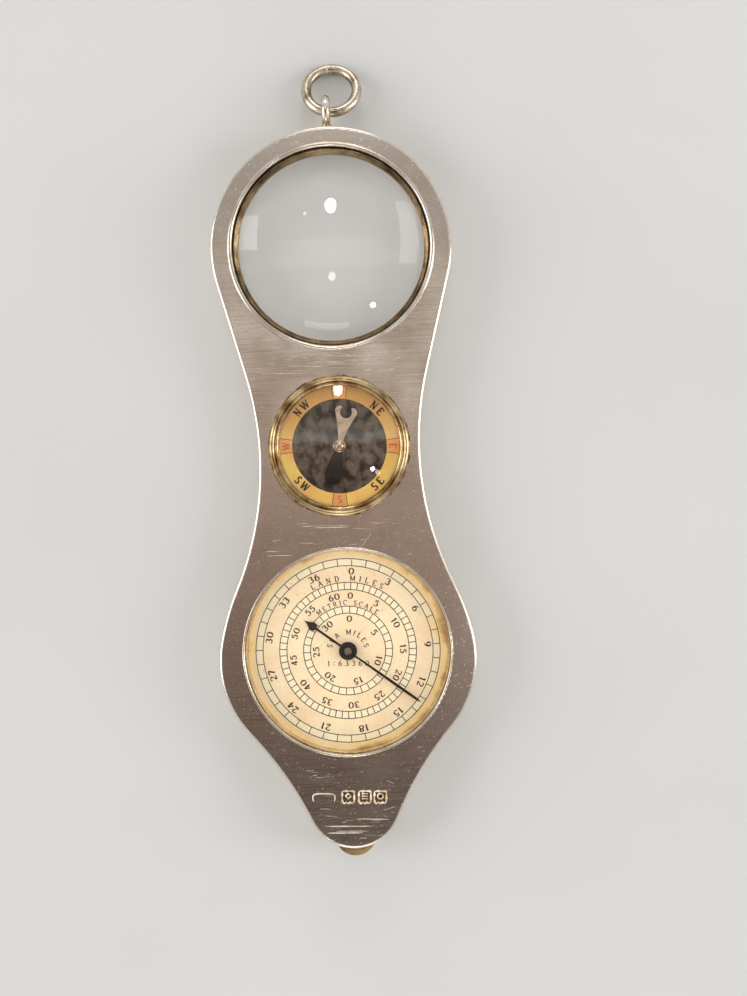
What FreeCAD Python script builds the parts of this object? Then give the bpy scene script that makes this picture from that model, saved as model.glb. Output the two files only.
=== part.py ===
import FreeCAD, Part
import math
import os
import re
import Sketcher

# Opisometer (map measurer) in a silver case with a reading lens and a compass.
# The case lies on its back: +Z is up out of the dial, +Y runs from the tracing
# wheel at the tip to the pendant ring, and the origin is where the pointer's
# axis meets the back face. Lengths are millimetres.

doc = FreeCAD.newDocument("MapMeasurer")
sizes = doc.addObject("Spreadsheet::Sheet", "Sizes")
subParts = []

DIMENSIONS = (
    # the case outline: circles joined by tangent arcs
    ("lensY", 64.15, "lens centre from the pointer axis"),
    ("lobeY", 63.95, "centre of the lens end's round"),
    ("lobeR", 19.1, "radius of the lens end"),
    ("waistY", 31.45, "height of the narrowest place"),
    ("waistHalf", 12.85, "half width at the narrowest place"),
    ("waistR", 50.0, "radius of the hollow waist"),
    ("shoulderR", 40.0, "radius above the widest place"),
    ("bulgeY", -1.25, "height of the widest place"),
    ("bulgeHalf", 20.5, "half width at the widest place"),
    ("bulgeR", 17.2, "radius below the widest place"),
    ("flankR", 57.0, "radius of the hollow flank above the tip"),
    ("tipY", -23.75, "centre of the tip's round"),
    ("tipR", 7.7, "radius of the tip"),
    # the case shells
    ("caseDeep", 7.5, "case from back to front"),
    ("backThick", 0.6, "back cover"),
    ("plateThick", 0.6, "front plate"),
    ("wall", 0.5, "side band"),
    ("edgeRound", 0.55, "rounded edge of each shell"),
    ("lipHigh", 0.35, "locating lip of the back cover"),
    ("lipGap", 0.05, "lip to band"),
    ("slotHalf", 3.45, "half width of the wheel's slot"),
    ("slotLow", 4.95, "bottom of the slot"),
    ("slotHigh", 6.45, "top of the slot"),
    ("screwHeadR", 1.0, "case screw head"),
    ("screwHeadDeep", 0.5, "countersink depth"),
    ("screwR", 0.47, "case screw shank"),
    ("screwLong", 3.6, "case screw length"),
    ("postR", 1.1, "case screw post"),
    ("postBoreR", 0.5, "bore of a post"),
    ("postBoreLong", 3.6, "depth of the bore"),
    # the reading lens
    ("collarR", 16.2, "outside of the lens collar"),
    ("collarInR", 15.6, "inside of the lens collar"),
    ("seatR", 15.0, "inside of the collar's seat"),
    ("lensR", 15.55, "lens radius"),
    ("lensEdge", 1.7, "thickness of the lens at its edge"),
    ("lensRise", 2.0, "rise of each lens face"),
    ("retainerInR", 14.75, "clear radius of the lens retainer"),
    ("lensBezelR", 16.3, "outside of the lens bezel"),
    ("lensBezelInR", 15.65, "inside of the lens bezel"),
    # the compass
    ("compassY", 32.7, "compass centre from the pointer axis"),
    ("bowlR", 10.6, "outside of the compass bowl"),
    ("bowlInR", 10.1, "inside of the compass bowl"),
    ("bowlLow", 4.0, "underside of the bowl"),
    ("bowlFloor", 0.7, "floor of the bowl"),
    ("compassBezelR", 11.0, "outside of the compass bezel"),
    ("compassBezelInR", 9.98, "inside of the compass bezel"),
    ("compassRimR", 9.5, "inside of the distance ring"),
    ("compassDiscThick", 0.4, "black ground plate"),
    ("compassCardThick", 0.15, "yellow card ring"),
    ("compassCardInR", 7.5, "inside of the card ring"),
    ("compassGlassLow", 7.05, "seat of the compass glass"),
    ("compassGlassEdge", 0.5, "thickness of its edge"),
    ("compassGlassRise", 1.05, "rise of the dome"),
    ("needleLow", 5.95, "underside of the needle"),
    ("needleThick", 0.15, "needle sheet"),
    ("needleEyeY", 5.68, "centre of the crescent from the pivot"),
    ("needleEyeR", 1.0, "inside of the crescent"),
    ("needleCrescentR", 1.75, "outside of the crescent"),
    ("needleTurn", 13.4, "needle's angle, clockwise from +Y"),
    # the dial
    ("dialHoleR", 16.7, "hole for the dial bezel"),
    ("dialR", 16.35, "visible dial radius"),
    ("dialGlassR", 16.55, "dial glass radius"),
    ("dialLow", 4.8, "underside of the dial plate"),
    ("dialThick", 0.3, "dial plate"),
    ("dialCardThick", 0.1, "printed card"),
    ("dialGlassLow", 6.25, "seat of the dial glass"),
    ("dialGlassEdge", 0.6, "thickness of its edge"),
    ("dialGlassRise", 0.5, "rise of its dome"),
    ("dialHoleInR", 0.9, "hole in the dial for the arbor"),
    ("handLow", 5.75, "underside of the pointer blade"),
    ("handThick", 0.15, "pointer sheet"),
    ("handLong", 14.1, "long end of the pointer"),
    ("handShort", 8.6, "short end of the pointer"),
    ("handHubR", 1.42, "pointer hub"),
    ("handTurn", 37.4, "long end's angle, clockwise from +X"),
    # the movement
    ("plateLow", 1.0, "underside of the back plate"),
    ("plateHigh", 4.1, "underside of the dial-side plate"),
    ("plateSheet", 0.7, "thickness of both plates"),
    ("moveR", 16.0, "round end of the movement plates"),
    ("moveTipR", 6.9, "narrow end of the movement plates"),
    ("endShake", 0.05, "play of an arbor between its plates"),
    ("lowWheel", 2.05, "level of the centre and first wheels"),
    ("highWheel", 3.25, "level of the second wheel"),
    ("wheelThick", 0.5, "wheel sheet"),
    ("lowPinion", 1.95, "level of the low pinions"),
    ("lowPinionLong", 0.8, "length of the low pinions"),
    ("highPinion", 3.05, "level of the high pinion"),
    ("highPinionLong", 0.9, "length of the high pinion"),
    ("tracingWheelR", 3.285, "rolling radius, 48 turns to 39 inches"),
    ("tracingWheelLow", 5.2, "underside of the tracing wheel"),
    ("tracingWheelThick", 1.0, "tracing wheel"),
    ("wheelPostR", 0.45, "arbor where it carries the tracing wheel"),
    ("arborR", 0.55, "arbors between the plates"),
    ("pivotR", 0.3, "pivots"),
    ("pivotPlay", 0.03, "radial play of a pivot"),
    ("handPostR", 0.6, "arbor where it carries the pointer"),
    ("handPostTop", 6.3, "top of the centre arbor"),
    ("bushR", 0.85, "bushes in the plates"),
    ("pillarR", 0.75, "movement pillars"),
    ("smallScrewR", 0.35, "shank of the movement's screws"),
    ("smallHeadR", 0.65, "head of the movement's screws"),
    ("smallHeadHigh", 0.3, "height of those heads"),
    ("earOut", 18.3, "distance of the fixing ears from the axis"),
    ("earR", 1.3, "radius of an ear"),
    # the train
    ("centreTeeth", 48, "centre wheel"),
    ("secondPinionTeeth", 12, "pinion on the second arbor"),
    ("secondTeeth", 40, "second wheel"),
    ("firstPinionTeeth", 16, "pinion on the first arbor"),
    ("firstTeeth", 48, "first wheel"),
    ("tracingPinionTeeth", 10, "pinion on the tracing wheel's arbor"),
    ("centreReach", 13.46, "centre arbor to second arbor"),
    ("secondReach", 9.8, "second arbor to first arbor"),
    ("firstReach", 6.29, "first arbor to tracing arbor"),
    ("toothPlay", 0.03, "thinning of each tooth for backlash"),
    # the pendant
    ("eyeletOut", 2.95, "centre of the eyelet beyond the case"),
    ("eyeletBendR", 1.95, "bend radius of the eyelet wire"),
    ("eyeletWireR", 0.66, "eyelet wire"),
    ("ringBendR", 4.05, "bend radius of the pendant ring"),
    ("ringWireR", 0.8, "pendant ring wire"),
    ("ringShift", 1.0, "ring centre beside the case axis"),
    ("ringDroop", 21.5, "angle of the ring below the horizontal"),
)

PRESSURE_ANGLE = math.radians(25)
ADDENDUM = 0.9
DEDENDUM = 1.15
CASE_SCREWS = ((-11.6, 46), (11.6, 46), (-11.6, 20), (11.6, 20), (-17.4, -6), (17.4, -6))
PILLARS = ((-10.5, 9), (10.5, 9), (-8.5, -17), (8.5, -17))
EAR_ANGLES = (45, 135, 217, 323)
HAND_SPADE = (
    (2.5, 0.18), (2.2, 0.38), (1.85, 0.54), (1.5, 0.6), (1.2, 0.55), (0.9, 0.36), (0.6, 0.15), (0.3, 0.05)
)


def fill_sheet():
    """One row for each driving size: its name, its value and what it is."""
    for row, (name, number, note) in enumerate(DIMENSIONS, 1):
        sizes.set("A%d" % row, name)
        sizes.set("B%d" % row, str(number))
        sizes.set("C%d" % row, note)
        sizes.setAlias("B%d" % row, name)
    doc.recompute()


def formula(text):
    """An expression in which each name of the sheet gets the sheet's prefix."""
    return re.sub(r"[A-Za-z]\w*(?![\w(])", lambda name: "Sizes." + name.group(0), str(text))


def value(text):
    return float(sizes.evalExpression(formula(text)))


def bind(thing, **properties):
    """Ties properties of a document object to formulas of the sheet."""
    for name, text in properties.items():
        thing.setExpression(name.replace("__", "."), formula(text))
    return thing


def place(thing, x=0, y=0, z=0, turn=None, axis=(0, 0, 1)):
    """Moves an object by three formulas and turns it by one, in degrees."""
    if turn is not None:
        thing.Placement = FreeCAD.Placement(FreeCAD.Vector(), FreeCAD.Rotation(FreeCAD.Vector(*axis), 1))
        thing.setExpression("Placement.Rotation.Angle", formula(turn))
    for direction, text in (("x", x), ("y", y), ("z", z)):
        thing.setExpression("Placement.Base." + direction, formula(text))
    return thing


def sub_part(thing, label):
    """Names a finished piece, so that it is checked and exported."""
    thing.Label = label
    subParts.append(thing)
    return thing


# sketches ---------------------------------------------------------------


def new_body(name):
    return doc.addObject("PartDesign::Body", name)


def new_sketch(body, name, role="XY_Plane", height=0):
    sketch = body.newObject("Sketcher::SketchObject", name)
    base = next(item for item in body.Origin.OriginFeatures if item.Role == role)
    sketch.AttachmentSupport = [(base, "")]
    sketch.MapMode = "FlatFace"
    sketch.setExpression("AttachmentOffset.Base.z", formula(height))
    return sketch


def hold(sketch, kind, text, *where):
    """A dimension of the sketch that follows a formula of the sheet."""
    number = sketch.addConstraint(Sketcher.Constraint(kind, *where, value(text)))
    sketch.setExpression("Constraints[%d]" % number, formula(text))


def hold_point(sketch, line, end, across, up):
    hold(sketch, "DistanceX", across, -1, 1, line, end)
    hold(sketch, "DistanceY", up, -1, 1, line, end)


def add_circle(sketch, radius, across=0, up=0):
    centre = FreeCAD.Vector(value(across), value(up), 0)
    circle = sketch.addGeometry(Part.Circle(centre, FreeCAD.Vector(0, 0, 1), value(radius)))
    hold(sketch, "Radius", radius, circle)
    hold_point(sketch, circle, 3, across, up)


def dome_arc(start, end):
    """The arc from start to end whose centre is on the sketch's upright axis."""
    rise = start.y - end.y
    centre_y = (start.x**2 + start.y**2 - end.x**2 - end.y**2) / (2 * rise)
    centre = FreeCAD.Vector(0, centre_y, 0)
    return arc_about(centre, start, end)


def arc_about(centre, start, end):
    """The shorter arc about a centre, and whether it runs from end to start."""
    ray_in = start - centre
    ray_out = end - centre
    first = math.atan2(ray_in.y, ray_in.x)
    last = math.atan2(ray_out.y, ray_out.x)
    backwards = math.sin(last - first) < 0
    if backwards:
        first, last = last, first
    circle = Part.Circle(centre, FreeCAD.Vector(0, 0, 1), ray_in.Length)
    return Part.ArcOfCircle(circle, first, last), backwards


def add_profile(sketch, corners):
    """A closed outline. Each corner is two formulas; a third item, dome, makes
    the run to the next corner an arc about the upright axis."""
    spots = [FreeCAD.Vector(value(corner[0]), value(corner[1]), 0) for corner in corners]
    base = sketch.GeometryCount
    ends = []
    for number, corner in enumerate(corners):
        start = spots[number]
        end = spots[(number + 1) % len(spots)]
        if "dome" in corner:
            arc, backwards = dome_arc(start, end)
            sketch.addGeometry(arc)
            ends.append((2, 1) if backwards else (1, 2))
            sketch.addConstraint(Sketcher.Constraint("PointOnObject", base + number, 3, -2))
        else:
            sketch.addGeometry(Part.LineSegment(start, end))
            ends.append((1, 2))
    for number, corner in enumerate(corners):
        following = (number + 1) % len(corners)
        joint = (base + number, ends[number][1], base + following, ends[following][0])
        sketch.addConstraint(Sketcher.Constraint("Coincident", *joint))
        hold_point(sketch, base + number, ends[number][0], corner[0], corner[1])


def pad(body, sketch, length):
    feature = body.newObject("PartDesign::Pad", sketch.Name + "_pad")
    feature.Profile = sketch
    return bind(feature, Length=length)


def pocket(body, sketch, length):
    """Cuts upwards from the sketch."""
    feature = body.newObject("PartDesign::Pocket", sketch.Name + "_cut")
    feature.Profile = sketch
    feature.Reversed = True
    return bind(feature, Length=length)


def turned(name, corners, y=0, x=0):
    """A body turned about Z from a profile of radius and height."""
    body = new_body(name)
    sketch = new_sketch(body, name + "_profile", "XZ_Plane")
    add_profile(sketch, corners)
    turn = body.newObject("PartDesign::Revolution", name + "_turn")
    turn.Profile = sketch
    turn.ReferenceAxis = (sketch, ["V_Axis"])
    turn.Angle = 360
    return place(body, x=x, y=y)


def round_edges(body, radius, wanted, name):
    """A fillet on the edges of the body that the test wants."""
    doc.recompute()
    tip = body.Tip
    edges = ["Edge%d" % (n + 1) for n, edge in enumerate(tip.Shape.Edges) if wanted(edge)]
    fillet = body.newObject("PartDesign::Fillet", name)
    fillet.Base = (tip, edges)
    return bind(fillet, Radius=radius)


# plain solids -----------------------------------------------------------


def cylinder(name, radius, low, high, x=0, y=0):
    solid = bind(doc.addObject("Part::Cylinder", name), Radius=radius)
    bind(solid, Height="(%s) - (%s)" % (high, low))
    return place(solid, x=x, y=y, z=low)


def cone(name, bottom, top, low, high, x=0, y=0):
    solid = bind(doc.addObject("Part::Cone", name), Radius1=bottom, Radius2=top)
    bind(solid, Height="(%s) - (%s)" % (high, low))
    return place(solid, x=x, y=y, z=low)


def box(name, long, wide, low, high, x=0, y=0):
    """A box centred on x and y."""
    solid = bind(doc.addObject("Part::Box", name), Length=long, Width=wide)
    bind(solid, Height="(%s) - (%s)" % (high, low))
    return place(solid, x="(%s) - (%s) / 2" % (x, long), y="(%s) - (%s) / 2" % (y, wide), z=low)


def fused(name, *pieces):
    union = doc.addObject("Part::MultiFuse", name)
    union.Shapes = list(pieces)
    return union


def cut(name, base, *tools):
    tool = tools[0] if len(tools) == 1 else fused(name + "_tools", *tools)
    result = doc.addObject("Part::Cut", name)
    result.Base = base
    result.Tool = tool
    return result


def group(name, pieces):
    """Several like pieces that stay separate solids of one node."""
    compound = doc.addObject("Part::Compound", name)
    compound.Links = list(pieces)
    return compound


# the case ---------------------------------------------------------------


def meeting(centre_a, radius_a, centre_b, radius_b):
    """The right-hand one of the two points at these distances from two centres."""
    across = centre_b - centre_a
    gap = across.Length
    along = (gap**2 + radius_a**2 - radius_b**2) / (2 * gap)
    aside = math.sqrt(radius_a**2 - along**2)
    normal = FreeCAD.Vector(-across.y, across.x, 0) / gap
    foot = centre_a + across * (along / gap)
    return max(foot + normal * aside, foot - normal * aside, key=lambda point: point.x)


def case_circles(inset):
    """Centre and radius of the six circles of the right side, from top to tip.
    An inset outline keeps the centres: its bulging circles shrink and its
    hollow ones grow."""
    def at(x, y):
        return FreeCAD.Vector(value(x), value(y), 0)

    waist_r = value("waistR")
    flank_r = value("flankR")
    shoulder_r = value("shoulderR")
    bulge_r = value("bulgeR")
    waist = at("waistHalf + waistR", "waistY")
    bulge = at("bulgeHalf - bulgeR", "bulgeY")
    tip = at(0, "tipY")
    shoulder_far = shoulder_r - bulge_r
    across = bulge - waist
    gap = across.Length
    along = (gap**2 + (waist_r + shoulder_r) ** 2 - shoulder_far**2) / (2 * gap)
    aside = math.sqrt((waist_r + shoulder_r) ** 2 - along**2)
    normal = FreeCAD.Vector(-across.y, across.x, 0) / gap
    foot = waist + across * (along / gap)
    shoulder = min(foot + normal * aside, foot - normal * aside, key=lambda point: point.x)
    flank = meeting(bulge, flank_r + bulge_r, tip, flank_r + value("tipR"))
    return (
        (at(0, "lobeY"), value("lobeR") - inset),
        (waist, waist_r + inset),
        (shoulder, shoulder_r - inset),
        (bulge, bulge_r - inset),
        (flank, flank_r + inset),
        (tip, value("tipR") - inset),
    )


def inner_tangent(centre_a, radius_a, centre_b, radius_b):
    """Where the line that passes between two circles touches each of them."""
    across = centre_b - centre_a
    lean = math.acos((radius_a + radius_b) / across.Length)
    heading = math.atan2(across.y, across.x) + lean
    ray = FreeCAD.Vector(math.cos(heading), math.sin(heading), 0)
    return centre_a + ray * radius_a, centre_b - ray * radius_b


def case_joints(circles):
    """The points where neighbouring runs of the right side touch."""
    lobe, waist, shoulder, bulge, flank, tip = circles

    def touch(one, other, outside):
        ray = (other[0] - one[0]).normalize()
        return one[0] + ray * (one[1] if outside else -one[1])

    leaving, landing = inner_tangent(lobe[0], lobe[1], waist[0], waist[1])
    return (
        leaving,
        landing,
        touch(waist, shoulder, True),
        touch(bulge, shoulder, False),
        touch(bulge, flank, True),
        touch(tip, flank, True),
    )


def add_case_outline(sketch, inset=0):
    """The vase outline: a closed ring of twelve runs, tangent at each joint."""
    circles = case_circles(value(inset))
    joints = case_joints(circles)

    def mirror(point):
        return FreeCAD.Vector(-point.x, point.y, 0)

    lobe, waist, shoulder, bulge, flank, tip = circles
    right = (waist, shoulder, bulge, flank)
    runs = [(lobe[0], mirror(joints[0]), joints[0]), (None, joints[0], joints[1])]
    for number, circle in enumerate(right):
        runs.append((circle[0], joints[number + 1], joints[number + 2]))
    runs.append((tip[0], joints[5], mirror(joints[5])))
    for number in (3, 2, 1, 0):
        runs.append((mirror(right[number][0]), mirror(joints[number + 2]), mirror(joints[number + 1])))
    runs.append((None, mirror(joints[1]), mirror(joints[0])))
    ends = []
    for number, (centre, start, end) in enumerate(runs):
        if centre is None:
            sketch.addGeometry(Part.LineSegment(start, end))
            ends.append((1, 2))
            continue
        if number == 0:
            top = centre + FreeCAD.Vector(0, lobe[1], 0)
            sketch.addGeometry(Part.Arc(start, top, end))
            ends.append((2, 1))
            continue
        arc, backwards = arc_about(centre, start, end)
        sketch.addGeometry(arc)
        ends.append((2, 1) if backwards else (1, 2))
    for number, own in enumerate(ends):
        following = (number + 1) % len(ends)
        sketch.addConstraint(
            Sketcher.Constraint("Tangent", number, own[1], following, ends[following][0])
        )
    for run, radius in ((0, "lobeR - "), (2, "waistR + "), (3, "shoulderR - "), (4, "bulgeR - "),
                        (5, "flankR + "), (6, "tipR - ")):
        hold(sketch, "Radius", "%s(%s)" % (radius, inset), run)
    for run, other in ((2, 10), (3, 9), (4, 8), (5, 7)):
        sketch.addConstraint(Sketcher.Constraint("Equal", run, other))
    hold_point(sketch, 0, 3, 0, "lobeY")
    hold_point(sketch, 6, 3, 0, "tipY")
    for side, waist_run, bulge_run in ((1, 2, 4), (-1, 10, 8)):
        hold_point(sketch, waist_run, 3, "%d * (waistHalf + waistR)" % side, "waistY")
        hold_point(sketch, bulge_run, 3, "%d * (bulgeHalf - bulgeR)" % side, "bulgeY")


def at_height(edge, height):
    return all(abs(vertex.Z - height) < 1e-6 for vertex in edge.Vertexes)


def is_outline(edge):
    """True for the runs of the case outline, false for the round holes in it."""
    middle = edge.valueAt((edge.FirstParameter + edge.LastParameter) / 2)
    holes = (("lensY", "collarR"), ("compassY", "bowlR"), (0, "dialHoleR"))
    return all(abs(math.hypot(middle.x, middle.y - value(y)) - value(r)) > 0.05 for y, r in holes)


def front_cover():
    """The front plate with its side band: a tray of sheet silver, open behind,
    with three round holes and the tracing wheel's slot in the tip."""
    body = new_body("front_cover")
    outer = new_sketch(body, "front_outer", height="backThick")
    add_case_outline(outer)
    pad(body, outer, "caseDeep - backThick")
    front = value("caseDeep")
    round_edges(body, "edgeRound", lambda edge: at_height(edge, front) and is_outline(edge), "front_round")
    inner = new_sketch(body, "front_inner", height="backThick")
    add_case_outline(inner, "wall")
    pocket(body, inner, "caseDeep - backThick - plateThick")
    holes = new_sketch(body, "front_holes", height="caseDeep - plateThick - 0.1")
    add_circle(holes, "collarR", 0, "lensY")
    add_circle(holes, "bowlR", 0, "compassY")
    add_circle(holes, "dialHoleR")
    pocket(body, holes, "plateThick + 0.2")
    slot = new_sketch(body, "wheel_slot", height="slotLow")
    tip_end = "tipY - tipR - 0.5"
    slot_top = "tipY - 3.2"
    add_profile(slot, (
        ("-slotHalf", tip_end),
        ("slotHalf", tip_end),
        ("slotHalf", slot_top),
        ("-slotHalf", slot_top),
    ))
    pocket(body, slot, "slotHigh - slotLow")
    return sub_part(body, "front_cover")


def back_cover():
    """The flat back with its locating lip, lens hole and countersunk holes."""
    body = new_body("back_cover_sheet")
    outer = new_sketch(body, "back_outer")
    add_case_outline(outer)
    pad(body, outer, "backThick")
    round_edges(body, "edgeRound - 0.1", lambda edge: at_height(edge, 0) and is_outline(edge), "back_round")
    lip = new_sketch(body, "back_lip", height="backThick")
    add_case_outline(lip, "wall + lipGap")
    pad(body, lip, "lipHigh")
    well = new_sketch(body, "back_well", height="backThick")
    add_case_outline(well, "wall + lipGap + 0.4")
    pocket(body, well, "lipHigh + 0.1")
    hole = new_sketch(body, "back_lens_hole")
    add_circle(hole, "collarR", 0, "lensY")
    pocket(body, hole, "backThick")
    tools = []
    for number, (x, y) in enumerate(CASE_SCREWS):
        sink = cone("sink_%d" % number, "screwHeadR", "postBoreR", 0, "screwHeadDeep", x, y)
        tools += [sink, cylinder("clear_%d" % number, "postBoreR", 0, "backThick", x, y)]
    return sub_part(cut("back_cover", body, *tools), "back_cover")


def case_screws():
    """Countersunk slotted screws through the back cover."""
    screws = []
    for number, (x, y) in enumerate(CASE_SCREWS):
        name = "case_screw_%d" % number
        head = cone(name + "_head", "screwHeadR", "screwR", 0, "screwHeadDeep", x, y)
        shank = cylinder(name + "_shank", "screwR", 0, "screwLong", x, y)
        slot = box(name + "_slot", "2.2 * screwHeadR", 0.3, -0.1, 0.2, x, y)
        screws.append(cut(name, fused(name + "_blank", head, shank), slot))
    return sub_part(group("case_screws", screws), "case_screws")


def screw_posts():
    """Posts soldered under the front plate, bored for the case screws."""
    posts = []
    for number, (x, y) in enumerate(CASE_SCREWS):
        name = "post_%d" % number
        rod = cylinder(name + "_rod", "postR", "backThick", "caseDeep - plateThick", x, y)
        bore = cylinder(name + "_bore", "postBoreR", "backThick", "backThick + postBoreLong", x, y)
        posts.append(cut(name, rod, bore))
    return sub_part(group("screw_posts", posts), "screw_posts")


# the reading lens -------------------------------------------------------


def lens_swell(radius):
    """How far a lens face stands beyond its edge at a radius."""
    bend = "((lensR ^ 2 + lensRise ^ 2) / (2 * lensRise))"
    return "(sqrt(%s ^ 2 - (%s) ^ 2) - %s + lensRise)" % (bend, radius, bend)


def reading_lens():
    """A tube through both shells, the lens on its seat, a threaded retainer
    before it and a half-round bezel on the plate."""
    edge_low = "(caseDeep - lensEdge) / 2"
    edge_high = "(caseDeep + lensEdge) / 2"
    seat = "%s - %s" % (edge_low, lens_swell("seatR"))
    clamp = "%s + %s" % (edge_high, lens_swell("retainerInR + 0.3"))
    sub_part(turned("lens_collar", (
        ("seatR + 0.5", 0),
        ("collarR", 0),
        ("collarR", "caseDeep"),
        ("collarInR", "caseDeep"),
        ("collarInR", seat),
        ("seatR", seat),
        ("seatR", 0.5),
    ), "lensY"), "lens_collar")
    sub_part(turned("lens_glass", (
        (0, "%s - lensRise" % edge_low, "dome"),
        ("lensR", edge_low),
        ("lensR", edge_high, "dome"),
        (0, "%s + lensRise" % edge_high),
    ), "lensY"), "lens_glass")
    sub_part(turned("lens_retainer", (
        ("retainerInR", "%s + 0.3" % clamp),
        ("retainerInR + 0.3", clamp),
        ("collarInR - 0.02", clamp),
        ("collarInR - 0.02", "caseDeep - 0.9"),
        ("collarInR - 0.2", "caseDeep - 0.6"),
        ("collarInR - 0.3", "caseDeep - 0.6"),
        ("retainerInR", "caseDeep - 1.3"),
    ), "lensY"), "lens_retainer")
    bezel = turned("lens_bezel", (
        ("lensBezelInR", "caseDeep"),
        ("lensBezelR", "caseDeep"),
        ("lensBezelR", "caseDeep + 0.4"),
        ("lensBezelInR", "caseDeep + 0.4"),
    ), "lensY")
    round_edges(bezel, 0.3, lambda edge: at_height(edge, value("caseDeep + 0.4")), "lens_bezel_round")
    sub_part(bezel, "lens_bezel")


# the compass ------------------------------------------------------------


def compass():
    """A capsule let into the front plate: bowl, black ground, card ring, pivot,
    distance ring, domed glass and bezel; the needle swings on its cap."""
    floor = "bowlLow + bowlFloor"
    disc = "bowlLow + bowlFloor + compassDiscThick"
    card = disc + " + compassCardThick"
    sub_part(turned("compass_bowl", (
        (0.5, "bowlLow"),
        ("bowlR - 0.5", "bowlLow"),
        ("bowlR", "bowlLow + 0.5"),
        ("bowlR", "caseDeep"),
        ("bowlInR", "caseDeep"),
        ("bowlInR", floor),
        (0.5, floor),
    ), "compassY"), "compass_bowl")
    sub_part(turned("compass_ground", (
        (0.5, floor),
        ("bowlInR", floor),
        ("bowlInR", disc),
        (0.5, disc),
    ), "compassY"), "compass_ground")
    sub_part(turned("compass_card", (
        ("compassCardInR", disc),
        ("bowlInR", disc),
        ("bowlInR", card),
        ("compassCardInR", card),
    ), "compassY"), "compass_card")
    sub_part(turned("compass_distance_ring", (
        ("compassRimR", card),
        ("bowlInR", card),
        ("bowlInR", "compassGlassLow"),
        ("compassRimR + 0.1", "compassGlassLow"),
        ("compassRimR", "compassGlassLow - 0.1"),
    ), "compassY"), "compass_distance_ring")
    sub_part(turned("compass_pivot", (
        (0, "bowlLow"),
        (0.5, "bowlLow"),
        (0.5, "%s + 0.2" % disc),
        (0.22, "%s + 0.3" % disc),
        (0, "needleLow + 0.32"),
    ), "compassY"), "compass_pivot")
    sub_part(turned("compass_crystal", (
        (0, "compassGlassLow + compassGlassRise - 0.1", "dome"),
        ("bowlInR - 0.05", "compassGlassLow"),
        ("bowlInR - 0.05", "compassGlassLow + compassGlassEdge", "dome"),
        (0, "compassGlassLow + compassGlassEdge + compassGlassRise"),
    ), "compassY"), "compass_crystal")
    bezel = turned("compass_bezel", (
        ("bowlInR", "caseDeep"),
        ("compassBezelR", "caseDeep"),
        ("compassBezelR", "caseDeep + 0.9"),
        ("compassBezelInR", "caseDeep + 0.9"),
        ("compassBezelInR", "caseDeep + 0.2"),
        ("bowlInR", "caseDeep + 0.2"),
    ), "compassY")
    round_edges(bezel, 0.48, lambda edge: at_height(edge, value("caseDeep + 0.9")), "compass_bezel_round")
    sub_part(bezel, "compass_bezel")


def compass_needle():
    """Sheet steel: the north end widens to an open crescent with round horns, the
    south end to a plain leaf. It lies at its own angle from the case axis."""
    body = new_body("compass_needle")
    blade = new_sketch(body, "needle_blade", height="needleLow")
    add_profile(blade, (
        (0.42, 0),
        (0.45, 2.0),
        (0.62, 3.0),
        (0.95, 3.9),
        (1.38, 4.6),
        (-1.38, 4.6),
        (-0.95, 3.9),
        (-0.62, 3.0),
        (-0.45, 2.0),
        (-0.42, 0),
        (-0.5, -1.0),
        (-1.45, -5.2),
        (-1.25, -6.0),
        (0, -6.6),
        (1.25, -6.0),
        (1.45, -5.2),
        (0.5, -1.0),
    ))
    pad(body, blade, "needleThick")
    rounds = new_sketch(body, "needle_rounds", height="needleLow")
    add_circle(rounds, "needleCrescentR", 0, "needleEyeY")
    add_circle(rounds, 0.95)
    pad(body, rounds, "needleThick")
    eye = new_sketch(body, "needle_eye", height="needleLow")
    add_circle(eye, "needleEyeR", 0, "needleEyeY")
    pocket(body, eye, "needleThick")
    mouth = new_sketch(body, "needle_mouth", height="needleLow")
    add_profile(mouth, ((0, "needleEyeY"), (1.16, "needleEyeY + 2"), (-1.16, "needleEyeY + 2")))
    pocket(body, mouth, "needleThick")
    horns = new_sketch(body, "needle_horns", height="needleLow")
    for side in (-1, 1):
        across = "%d * (needleEyeR + needleCrescentR) / 4" % side
        up = "needleEyeY + 0.866 * (needleEyeR + needleCrescentR) / 2"
        add_circle(horns, "(needleCrescentR - needleEyeR) / 2", across, up)
    pad(body, horns, "needleThick")
    seat = new_sketch(body, "needle_seat", height="needleLow")
    add_circle(seat, 0.6)
    pocket(body, seat, "needleThick")
    place(body, y="compassY", turn="needleTurn", axis=(0, 0, -1))
    sub_part(body, "compass_needle")
    cap = turned("needle_cap", (
        (0.3, "needleLow - 0.15"),
        (0.6, "needleLow - 0.15"),
        (0.6, "needleLow + needleThick"),
        (1.05, "needleLow + needleThick"),
        (1.05, "needleLow + needleThick + 0.2"),
        (0.75, "needleLow + 0.65", "dome"),
        (0, "needleLow + 0.85"),
        (0, "needleLow + 0.37"),
    ), "compassY")
    sub_part(cap, "needle_cap")


# the dial ---------------------------------------------------------------


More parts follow.
